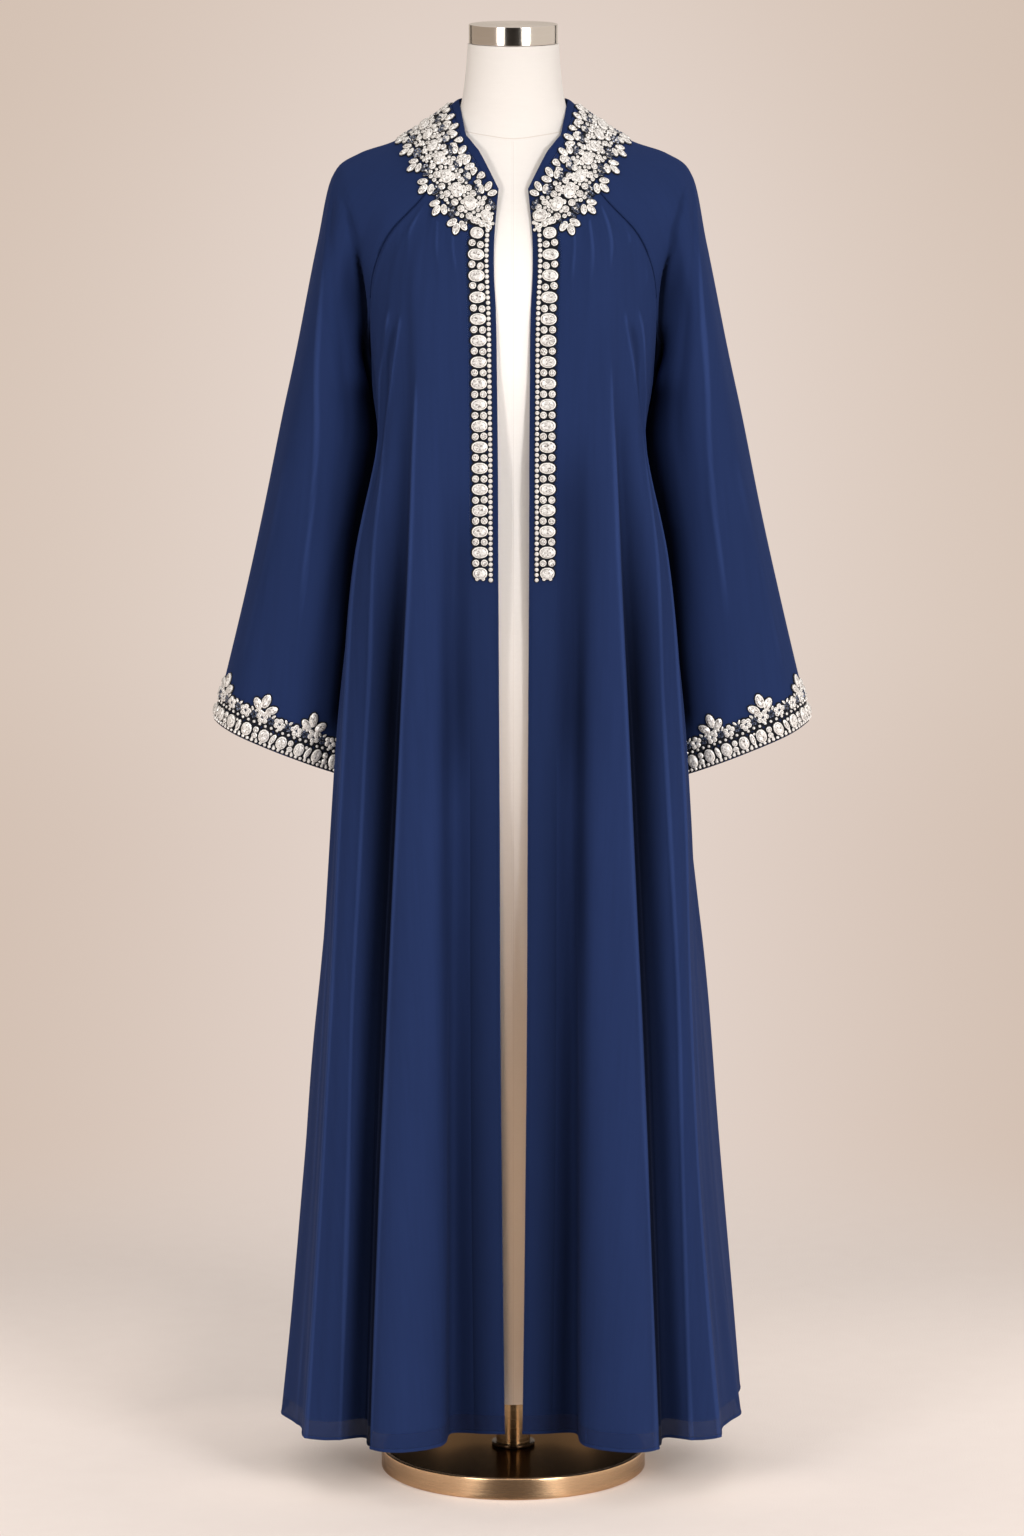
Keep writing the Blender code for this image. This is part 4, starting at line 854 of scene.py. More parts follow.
# ---------------------------------------------------------------- materials
class Shader:
    """A node material, with short ways to add and join its nodes."""

    def __init__(self, name):
        self.m = bpy.data.materials.new(name)
        self.m.use_nodes = True
        self.t = self.m.node_tree
        self.t.nodes.clear()
        self.out = self.t.nodes.new("ShaderNodeOutputMaterial")
        self.bsdf = self.t.nodes.new("ShaderNodeBsdfPrincipled")
        self.t.links.new(self.bsdf.outputs["BSDF"], self.out.inputs["Surface"])

    def put(self, socket, value):
        if isinstance(value, bpy.types.NodeSocket):
            self.t.links.new(value, socket)
        elif value is not None:
            socket.default_value = value

    def add(self, kind, inputs=(), **props):
        n = self.t.nodes.new(kind)
        for k, val in props.items():
            setattr(n, k, val)
        for k, val in dict(inputs).items():
            self.put(n.inputs[k], val)
        return n

    def set(self, **values):
        for k, val in values.items():
            self.put(self.bsdf.inputs[k.replace("_", " ")], val)

    def math(self, op, a, b=None, c=None, clamp=False):
        n = self.add("ShaderNodeMath", operation=op, use_clamp=clamp)
        for i, val in enumerate((a, b, c)):
            self.put(n.inputs[i], val)
        return n.outputs[0]

    def mix(self, f, a, b, kind="MIX"):
        n = self.add("ShaderNodeMix", data_type="RGBA", blend_type=kind)
        rgba = lambda q: q if isinstance(q, bpy.types.NodeSocket) or len(q) == 4 else (*q, 1.0)
        self.put(n.inputs[0], f)
        self.put(n.inputs[6], rgba(a))
        self.put(n.inputs[7], rgba(b))
        return n.outputs[2]

    def attr(self, name):
        return self.add("ShaderNodeAttribute", attribute_type="GEOMETRY", attribute_name=name).outputs["Fac"]

    def cut(self):
        return self.add("ShaderNodeUVMap", uv_map="cut").outputs["UV"]

    def place(self):
        return self.add("ShaderNodeTexCoord").outputs["Object"]

    def scaled(self, vector, scale):
        return self.add("ShaderNodeMapping", {"Vector": vector, "Scale": scale}).outputs["Vector"]

    def noise(self, vector, scale, detail=2.0, rough=0.5):
        return self.add("ShaderNodeTexNoise", {"Vector": vector, "Scale": scale, "Detail": detail, "Roughness": rough}).outputs["Fac"]

    def wave(self, vector, period, direction="X", distortion=0.0):
        return self.add("ShaderNodeTexWave", {"Vector": vector, "Scale": 0.31416 / period, "Distortion": distortion, "Detail": 1.0},
                        wave_type="BANDS", bands_direction=direction).outputs["Fac"]

    def span(self, value, a, b, c=0.0, d=1.0, soft=True):
        return self.add("ShaderNodeMapRange", {"Value": value, "From Min": a, "From Max": b, "To Min": c, "To Max": d},
                        interpolation_type="SMOOTHSTEP" if soft else "LINEAR").outputs["Result"]

    def bump(self, height, strength, distance, normal=None):
        return self.add("ShaderNodeBump", {"Height": height, "Strength": strength, "Distance": distance, "Normal": normal}).outputs["Normal"]

    def line(self, value, at, half):
        """1 within half of at, else 0, with a soft edge."""
        off = self.math("ABSOLUTE", self.math("SUBTRACT", value, at))
        return self.span(off, half * 0.6, half * 1.2, 1.0, 0.0)


def navy_cloth(name, base, crest, rough=0.72, sheen=0.07, sheer=False, stitches=(), grain=1.0, show=0.40):
    """Matte navy crepe: fine cross-woven grain, faint slubs and clouding; hem and seam stitches read their distances
    from the mesh.  Painted shade darkens it in folds and crease troughs and a painted highlight lightens it on crests,
    both read from the mesh as well.
    """
    s = Shader(name)
    uv = s.cut()
    warp = s.wave(s.scaled(uv, (1.0, 1.0, 1.0)), 0.00052, "X", 1.2)
    weft = s.wave(s.scaled(uv, (1.0, 1.0, 1.0)), 0.00056, "Y", 1.2)
    crepe = s.noise(s.scaled(uv, (1.0, 0.7, 1.0)), 1500.0, 3.0, 0.62)
    slub = s.noise(s.scaled(uv, (240.0, 10.0, 1.0)), 1.0, 2.0, 0.6)
    cloud = s.noise(s.scaled(uv, (9.0, 3.0, 1.0)), 1.0, 3.0, 0.55)
    lift = s.attr("crest")
    tone = s.math("ADD", s.math("MULTIPLY", s.math("SUBTRACT", crepe, 0.5), 0.34 * grain),
                  s.math("ADD", s.math("MULTIPLY", s.math("SUBTRACT", slub, 0.5), 0.16),
                         s.math("MULTIPLY", s.math("SUBTRACT", cloud, 0.5), 0.22)))
    # painted shade: the colour darkens where the folds close in
    tone = s.math("MULTIPLY", s.math("ADD", tone, 1.0), s.math("SUBTRACT", 1.0, s.math("MULTIPLY", s.attr("painted_shade"), PAINTED_SHADE_DEPTH)))
    # painted highlight on raised crests and gleams; painted shade in crease troughs, darkest in the deepest
    colour = s.mix(s.span(lift, 0.5, 1.7, 0.0, 0.62), base, crest)
    dark = tuple(0.62 * q for q in base)
    colour = s.mix(s.span(lift, -0.7, -2.6, 0.0, 0.6), colour, dark)
    colour = s.mix(s.span(lift, -2.4, -5.5, 0.0, 0.9), colour, tuple(0.12 * q for q in base))
    thread = None
    groove = None
    for source, at in stitches:
        d = s.attr(source)
        along = s.add("ShaderNodeSeparateXYZ", {"Vector": uv}).outputs["Y" if source != "hem" else "X"]
        dash = s.math("LESS_THAN", s.math("FRACT", s.math("MULTIPLY", along, 1000.0 / 2.9)), 0.74)
        one = s.math("MULTIPLY", s.line(d, at, 0.34), dash)
        sunk = s.line(d, at, 0.8)
        thread = one if thread is None else s.math("MAXIMUM", thread, one)
        groove = sunk if groove is None else s.math("MAXIMUM", groove, sunk)
    if thread is not None:
        colour = s.mix(s.math("MULTIPLY", groove, min(0.4, show * 1.5)), colour, dark)
        colour = s.mix(s.math("MULTIPLY", thread, show), colour, crest)
    colour = s.mix(1.0, colour, s.add("ShaderNodeCombineColor", {"Red": tone, "Green": tone, "Blue": tone}).outputs[0], "MULTIPLY")
    height = s.math("ADD", s.math("MULTIPLY", crepe, 1.0), s.math("ADD", s.math("MULTIPLY", warp, 0.35), s.math("MULTIPLY", weft, 0.35)))
    normal = s.bump(height, 0.35, 0.00022)
    if groove is not None:
        normal = s.bump(s.math("SUBTRACT", s.math("MULTIPLY", thread, 0.6), groove), 0.7, 0.0003, normal)
    s.set(Base_Color=colour, Roughness=s.span(crepe, 0.2, 0.8, rough - 0.05, rough + 0.07, False), Normal=normal)
    s.set(Sheen_Weight=sheen, Sheen_Roughness=0.42, Sheen_Tint=(0.30, 0.42, 1.0, 1.0), Specular_IOR_Level=0.02)
    if sheer:
        hem = s.attr("hem")
        alpha = s.math("MAXIMUM", s.span(hem, 19.5, 23.0, 0.86, 1.0), s.span(hem, 3.0, 3.8, 1.0, 0.0))
        s.set(Alpha=alpha)
    return s.m


def linen(name):
    """The form's cream cover: fine knit grain, weak clouding, seams with a stitched groove."""
    s = Shader(name)
    p = s.place()
    fine = s.noise(s.scaled(p, (1.0, 1.0, 1.0)), 900.0, 3.0, 0.6)
    ribs = s.wave(p, 0.0011, "Z", 0.6)
    cloud = s.noise(p, 6.0, 3.0, 0.5)
    slub = s.noise(s.scaled(p, (60.0, 60.0, 420.0)), 1.0, 2.0, 0.6)
    tone = s.math("ADD", 1.0, s.math("ADD", s.math("MULTIPLY", s.math("SUBTRACT", fine, 0.5), 0.05),
                                      s.math("ADD", s.math("MULTIPLY", s.math("SUBTRACT", cloud, 0.5), 0.05),
                                             s.math("MULTIPLY", s.math("SUBTRACT", slub, 0.5), 0.03))))
    colour = s.mix(cloud, (0.893, 0.865, 0.838), (0.877, 0.844, 0.815))
    seam = s.math("MAXIMUM", s.line(s.attr("neck_seam"), 0.0, 0.55), s.math("MULTIPLY", s.line(s.attr("mid_seam"), 0.0, 0.45), 0.4))
    swell = s.math("MAXIMUM", s.line(s.attr("neck_seam"), 0.0, 2.0), s.line(s.attr("mid_seam"), 0.0, 1.8))
    colour = s.mix(s.math("MULTIPLY", seam, 0.38), colour, (0.56, 0.46, 0.38))
    colour = s.mix(1.0, colour, s.add("ShaderNodeCombineColor", {"Red": tone, "Green": tone, "Blue": tone}).outputs[0], "MULTIPLY")
    normal = s.bump(s.math("ADD", fine, s.math("MULTIPLY", ribs, 0.3)), 0.25, 0.0003)
    normal = s.bump(s.math("SUBTRACT", s.math("MULTIPLY", swell, 0.5), seam), 0.35, 0.0005, normal)
    s.set(Base_Color=colour, Roughness=s.span(fine, 0.2, 0.8, 0.66, 0.78, False), Normal=normal)
    s.set(Sheen_Weight=0.12, Sheen_Roughness=0.5, Specular_IOR_Level=0.3)
    return s.m


def turned_metal(name, base, dark, rough, brushed="side", aniso=0.75, rim=None):
    """A turned and brushed metal: fine scratches run round it, the tone varies a little from ring to ring."""
    s = Shader(name)
    p = s.place()
    if brushed == "side":
        scratch = s.noise(s.scaled(p, (14.0, 14.0, 2600.0)), 1.0, 3.0, 0.7)
        rings = s.noise(s.scaled(p, (3.0, 3.0, 420.0)), 1.0, 2.0, 0.5)
    else:
        flat = s.add("ShaderNodeVectorMath", {0: s.scaled(p, (1.0, 1.0, 0.0))}, operation="LENGTH").outputs["Value"]
        wide = s.add("ShaderNodeCombineXYZ", {"X": flat}).outputs[0]
        scratch = s.noise(s.scaled(wide, (2600.0, 1.0, 1.0)), 1.0, 3.0, 0.7)
        rings = s.noise(s.scaled(wide, (420.0, 1.0, 1.0)), 1.0, 2.0, 0.5)
    smudge = s.noise(p, 28.0, 3.0, 0.6)
    colour = s.mix(s.math("ADD", s.math("MULTIPLY", rings, 0.5), s.math("MULTIPLY", smudge, 0.4)), base, dark)
    s.set(Base_Color=colour, Metallic=1.0, Roughness=s.span(scratch, 0.25, 0.75, rough - 0.05, rough + 0.08, False),
          Normal=s.bump(scratch, 0.22, 0.00012))
    tangent = s.add("ShaderNodeTangent", direction_type="RADIAL", axis="Z").outputs[0]
    s.set(Anisotropic=aniso, Anisotropic_Rotation=0.25 if brushed == "side" else 0.25, Tangent=tangent)
    if rim is not None:
        s.set(Specular_Tint=(*rim, 1.0))
    return s.m


def crystal(name, bright, shade, metallic, rough, coat=0.6):
    """Cut glass stones: every facet has its own tone, a mix of a lit and a shaded colour: painted reflections."""
    s = Shader(name)
    tone = s.attr("tone")
    p = s.place()
    speck = s.noise(p, 1300.0, 2.0, 0.6)
    colour = s.mix(tone, shade, bright)
    colour = s.mix(s.math("MULTIPLY", s.span(speck, 0.45, 0.7), 0.22), colour, shade)
    s.set(Base_Color=colour, Metallic=metallic, Roughness=s.span(speck, 0.3, 0.7, rough, rough + 0.10, False),
          Normal=s.bump(speck, 0.10, 0.0002))
    s.set(Coat_Weight=coat, Coat_Roughness=0.04, Specular_IOR_Level=0.7)
    return s.m


def thread_black(name):
    s = Shader(name)
    p = s.place()
    knots = s.noise(p, 1100.0, 3.0, 0.6)
    net = s.math("MAXIMUM", s.wave(p, 0.0009, "X", 2.0), s.wave(p, 0.0009, "Z", 2.0))
    s.set(Base_Color=s.mix(knots, (0.0028, 0.0032, 0.0050), (0.010, 0.012, 0.020)), Roughness=s.span(knots, 0.3, 0.7, 0.75, 0.95, False),
          Normal=s.bump(s.math("ADD", knots, s.math("MULTIPLY", net, 0.5)), 0.6, 0.0004))
    s.set(Sheen_Weight=0.05, Specular_IOR_Level=0.2)
    return s.m


# NAVY is the cloth's own colour; the second colour given to each cloth is its painted highlight on crests, also the
# thread of its stitches
NAVY = (0.0154, 0.0290, 0.0950)
NAVY_HIGHLIGHT_AND_THREAD = (0.0290, 0.0535, 0.1680)
CHIFFON = navy_cloth("chiffon_navy", NAVY, NAVY_HIGHLIGHT_AND_THREAD, sheer=True, stitches=(("hem", 3.4),))
SLEEVE_CHIFFON = navy_cloth("chiffon_navy_sleeve", NAVY, NAVY_HIGHLIGHT_AND_THREAD, stitches=(("hem", 3.4),))
BAND_CLOTH = navy_cloth("chiffon_navy_band", (0.0126, 0.0238, 0.0770), (0.0200, 0.0370, 0.1150), sheer=True,
                        stitches=(("hem", 3.4), ("edge_l", 2.6)), show=0.12)
NECK_CLOTH = navy_cloth("chiffon_navy_neck", (0.0134, 0.0259, 0.0870), (0.0225, 0.0410, 0.1260), stitches=(("hem", 2.2),), show=0.10)
LINING_CLOTH = navy_cloth("lining_navy", (0.0100, 0.0192, 0.0640), (0.0155, 0.0286, 0.0900), rough=0.6, sheen=0.03, grain=0.6,
                          stitches=(("hem", 6.0),))
LINEN = linen("cream_cover_knit")
NICKEL = turned_metal("nickel_side", (0.80, 0.74, 0.68), (0.66, 0.60, 0.54), 0.16)
NICKEL_TOP = turned_metal("nickel_top", (0.80, 0.74, 0.68), (0.66, 0.60, 0.54), 0.26, "top", 0.6)
BRASS = turned_metal("brass_side", (0.62, 0.42, 0.23), (0.44, 0.29, 0.15), 0.22)
# painted shade: the flange's brass is darkened nearly to black for the shadow round the foot of the pole
FLANGE_BRASS_PAINTED_SHADE = turned_metal("brass_flange_painted_shade", (0.13, 0.082, 0.046), (0.07, 0.044, 0.025), 0.24)
BRONZE = turned_metal("bronze_side", (0.95, 0.64, 0.385), (0.80, 0.525, 0.305), 0.24)
# painted reflection: the top's bronze is darkened far below the side's, for the dark cloak it reflects
BRONZE_TOP_PAINTED_REFLECTION = turned_metal("bronze_top_painted_reflection", (0.150, 0.097, 0.057), (0.085, 0.054, 0.031), 0.20, "top", 0.65, rim=(0.64, 0.53, 0.44))
# stones and settings take painted reflections: their facets mix a lit and a shaded colour by tone
CRYSTAL = crystal("crystal_clear", (0.985, 0.965, 0.940), (0.215, 0.190, 0.175), 0.10, 0.12)
SETTING = crystal("setting_silver", (0.985, 0.965, 0.935), (0.52, 0.48, 0.45), 0.20, 0.28, 0.3)
NAVY_CRYSTAL = crystal("crystal_navy", (0.030, 0.052, 0.120), (0.006, 0.010, 0.024), 0.35, 0.08, 0.8)
BLACK_NET = thread_black("trim_net_black")


# ---------------------------------------------------------------- the cloak's cloth
WAY = {-1: "left", 1: "right"}


def with_edges(u, lo=True, hi=True):
    extra = []
    if lo:
        extra += [u[0] + q for q in (0.7, 1.5, 2.6)]
    if hi:
        extra += [u[-1] - q for q in (0.7, 1.5, 2.6)]
    u = np.unique(np.round(np.concatenate([u, extra]), 3))
    keep = [u[0]]
    for q in u[1:-1]:
        if q - keep[-1] > 0.45 and u[-1] - q > 0.45:
            keep.append(q)
    return np.array(keep + [u[-1]])


COARSE = 1.0
HEM_ROWS = np.array([1396.0, 1401, 1405.5, 1408.5, 1410.3, 1411.7, 1413])
BODY_ROWS = np.concatenate([[10, 11, 12.5, 15], spread(19, 600, 4.7 * COARSE), spread(600, V_LINING, 7.8 * COARSE)[1:], HEM_ROWS])
SLEEVE_ROWS_AT = np.concatenate([[10, 11, 12.5, 15], spread(19, 694, 5.1 * COARSE), [698, 701, 703.3, 704.8, 706]])
LINING_ROW = int(np.argmin(np.abs(BODY_ROWS - V_LINING)))
panels = {}
sizes = {}


def surface_facts(p):
    """Width and length of the widest and longest lines of a grid, and its area, in metres."""
    a, b, c, d = p[:-1, :-1], p[:-1, 1:], p[1:, 1:], p[1:, :-1]
    area = (np.linalg.norm(np.cross(b - a, c - a), axis=2) + np.linalg.norm(np.cross(c - a, d - a), axis=2)).sum() / 2
    return float(lengths(p, 1)[:, -1].max()) / 1000, float(lengths(p, 0)[-1].max()) / 1000, float(area) / 1e6


def rolled_hem(panel, height=0.45):
    """The hem is turned under: its last millimetres stand out a little and its edge is round."""
    down = lengths(panel.p, 0)
    hem = down[-1:] - down
    panel.p += panel.n * (height * np.exp(-(((hem - 1.4) / 1.7) ** 2)))[..., None]
    panel.n = grid_normals(panel.p, panel.side)
    return panel


def half_rows(n):
    return np.unique(np.concatenate([np.arange(0, n, 2), [n - 1]]))


def lining(name, panel, replaced):
    """The lining: every other line of the cloth over it, set in under it."""
    r = half_rows(LINING_ROW + 1)
    c = half_rows(len(panel.u))
    p, n = panel.p[np.ix_(r, c)], panel.n[np.ix_(r, c)]
    top = OUTER_WALL + LINING_DROP
    verts, faces = shell(p - n * top, p - n * (top + LINING_WALL), panel.side)
    down = lengths(p, 0)
    left = panel.left[np.ix_(r, c)]
    both = lambda q: np.concatenate([q.ravel(), q.ravel()])
    # the lining takes a weaker painted highlight and the same painted fold shade as the cloth over it
    ob = make_object(name, verts, [faces], [LINING_CLOTH], sharp=42, uv=np.stack([both(left), both(down)], 1) * 0.001,
                     point_values={"hem": both(down[-1:] - down), "edge_l": both(left), "edge_r": both(panel.right[np.ix_(r, c)]),
                                   "crest": both(panel.lift[np.ix_(r, c)] * 0.4), "painted_shade": both(panel.painted_shade[np.ix_(r, c)])})
    sizes[name] = surface_facts(p)
    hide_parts(replaced)
    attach(ob, "root")
    return ob


pieces = {}
for s in (-1, 1):
    w = WAY[s]
    knots = SHEETS["front", s].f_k
    c, d, b = knots[5], knots[7], knots[8]
    u = with_edges(spread(knots[1], knots[-1], 3.9 * COARSE, (knots[1], c, d - 2, b - 3, knots[-1]), 2.2, 6.0))
    panel = Panel(("front", s), -s, u, BODY_ROWS, FRONT_CREASES[s], 11 + s, 0.55, 84.0, (0.16, 0.6), 1.2)
    # painted shade in the pleat from crest c to crest b, and painted highlights on the slopes before both crests
    panel.knife(c, b, 340.0, 300.0)
    panel.gleam(c, 10.0, 1.0, 250.0, 200.0)
    panel.gleam(b, 10.0, 1.05, 200.0, 200.0)
    # painted shade in a broad band beside the front's band high up, and lower down a negative band that takes some of
    # the painted fold shade off again
    panel.shade(*((42.0, 17.0, 360.0, 720.0, 0.27) if s < 0 else (54.0, 27.0, 300.0, 740.0, 0.33)))
    panel.shade(*((54.0, 26.0, 640.0, 1600.0, -0.26) if s < 0 else (62.0, 22.0, 800.0, 1600.0, -0.10)))
    panel = rolled_hem(panel.edge_gap(0.14, l=False, t=True).edge_gap(0.02, r=False))
    panels["front", s] = panel
    ob = cloth("cloth_front_" + w, panel, 0.0, OUTER_WALL, [CHIFFON], True)
    sizes[ob.name] = surface_facts(panel.p)
    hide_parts("front_" + w)
    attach(ob, "root")
    pieces["front", s] = ob
    pieces["lining", s] = lining("cloth_lining_front_" + w, panel, "lining_front_" + w)

    u = with_edges(spread(0.0, knots[1], 3.2 * COARSE))
    panel = Panel(("front", s), -s, u, BODY_ROWS, (), 0, 0.0, None, (0.55, 0.16), 1.2)
    panel = rolled_hem(panel.edge_gap(0.14, l=False, r=False, t=True).edge_gap(0.02, l=False))
    panels["band", s] = panel
    ob = cloth("cloth_band_" + w, panel, 0.0, 1.0, [BAND_CLOTH], True)
    sizes[ob.name] = surface_facts(panel.p)
    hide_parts("front_band_" + w)
    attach(ob, "root")
    pieces["band", s] = ob

    knots = SHEETS["sleeve", s].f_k
    u = with_edges(spread(knots[0], knots[-1], 4.3 * COARSE, (knots[0], 98, knots[7], knots[-1]), 2.0, 6.0))
    panel = Panel(("sleeve", s), -s, u, SLEEVE_ROWS_AT, SLEEVE_CREASES[s], 31 + s, 0.5, 84.0, (0.6, 0.6), 1.2)
    panel.tuck(s)
    panel = rolled_hem(panel.edge_gap(0.14, t=True), 0.3)
    panels["sleeve", s] = panel
    ob = cloth("cloth_sleeve_" + w, panel, 0.0, OUTER_WALL, [SLEEVE_CHIFFON], True)
    sizes[ob.name] = surface_facts(panel.p)
    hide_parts("sleeve_" + w)
    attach(ob, "root")
    pieces["sleeve", s] = ob

knots = SHEETS["back"].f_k
u = with_edges(spread(knots[0], knots[-1], 4.7 * COARSE, (knots[0], 79, 177, 261, 338, 428, 522, knots[-1]), 1.5, 6.0))
panel = Panel("back", 1, u, BODY_ROWS, BACK_CREASES, 21, 0.55, 84.0, (0.6, 0.6), 1.2)
panel = rolled_hem(panel.edge_gap(0.14, t=True))
panels["back"] = panel
ob = cloth("cloth_back", panel, 0.0, OUTER_WALL, [CHIFFON], True)
sizes[ob.name] = surface_facts(panel.p)
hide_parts("back_panel")
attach(ob, "root")
pieces["back"] = ob
pieces["lining_back"] = lining("cloth_lining_back", panel, "lining_back")


# ---------------------------------------------------------------- round the neck
def even_u(key, count, row=48.0):
    """Fold positions evenly spaced along a row."""
    knots = SHEETS[key].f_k
    u = np.linspace(knots[0], knots[-1], 1200)
    arc = lengths(SHEETS[key].grid(u, np.array([row])), 1)[0]
    return np.interp(np.linspace(0, arc[-1], count), arc, u)


RING_PARTS = ((("front", -1), 50, False), (("sleeve", -1), 80, False), ("back", 110, False), (("sleeve", 1), 80, True), (("front", 1), 50, True))


def ring(v, shrink=1):
    """Rows round the neck from the left open edge over the back to the right one: points, normals, panel and fold position of each column."""
    ps, ns, cols = [], [], []
    for i, (key, count, flip) in enumerate(RING_PARTS):
        side = 1 if key == "back" else -key[1]
        u = even_u(key, count // shrink)
        p, n = SHEETS[key].frame(u, v, side)
        if flip:
            p, n, u = p[:, ::-1], n[:, ::-1], u[::-1]
        start = 1 if i else 0
        ps.append(p[:, start:])
        ns.append(n[:, start:])
        cols += [(i, q) for q in u[start:]]
    return np.concatenate(ps, 1), np.concatenate(ns, 1), np.array(cols)


v = np.array([0.0, 0.5, 1.2, 2.2, 4.0, 6.0, 8.0, 8.9, 9.5, 9.86])
p, n, _ = ring(v)
n = unit(n)
p -= n * (0.4 * np.exp(-((v / 0.8) ** 2)) + 0.6 * np.exp(-(((v - 9.86) / 0.8) ** 2)) - 0.25 * np.exp(-(((v - 5) / 3.0) ** 2)))[:, None, None]
verts, faces = shell(p, p - n * 1.0, 1)
arc = lengths(p, 1)
down = lengths(p, 0)
both = lambda q: np.concatenate([q.ravel(), q.ravel()])
ob = make_object("cloth_neck_band", verts, [faces], [NECK_CLOTH], sharp=42, uv=np.stack([both(arc), both(down)], 1) * 0.001,
                 point_values={"hem": both(down), "edge_l": both(arc), "edge_r": both(arc[:, -1:] - arc), "crest": both(arc * 0), "painted_shade": both(arc * 0)})
sizes[ob.name] = surface_facts(p)[1::-1] + surface_facts(p)[2:]
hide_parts("neck_band")
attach(ob, "root")
pieces["neck"] = ob


# ---------------------------------------------------------------- stones
def outline_round(k, size):
    a = np.linspace(0, 2 * np.pi, k, endpoint=False) + np.pi / k
    return np.stack([np.cos(a), np.sin(a)], 1) * size / 2


def outline_cushion(k, wide, long, power=2.6):
    a = np.linspace(0, 2 * np.pi, k, endpoint=False) + np.pi / k
    c, s = np.cos(a), np.sin(a)
    return np.stack([np.sign(c) * np.abs(c) ** (2 / power) * wide / 2, np.sign(s) * np.abs(s) ** (2 / power) * long / 2], 1)


def outline_leaf(k, wide, long, blunt=0.75):
    """A pointed oval, long along y."""
    a = np.linspace(0, 2 * np.pi, k, endpoint=False)
    c, s = np.cos(a), np.sin(a)
    x = np.sign(s) * np.abs(s) ** (1.0 / blunt) * wide / 2
    return np.stack([-x, -c * long / 2], 1)[::-1]


def outline_drop(k, wide, long):
    """A pear, its round end at +y."""
    a = np.linspace(0, 2 * np.pi, k, endpoint=False)
    y = -np.cos(a)
    x = np.sin(a) * (0.62 + 0.38 * y) ** 0.75
    x = x / np.abs(x).max()
    return np.stack([x * wide / 2, y * long / 2], 1)


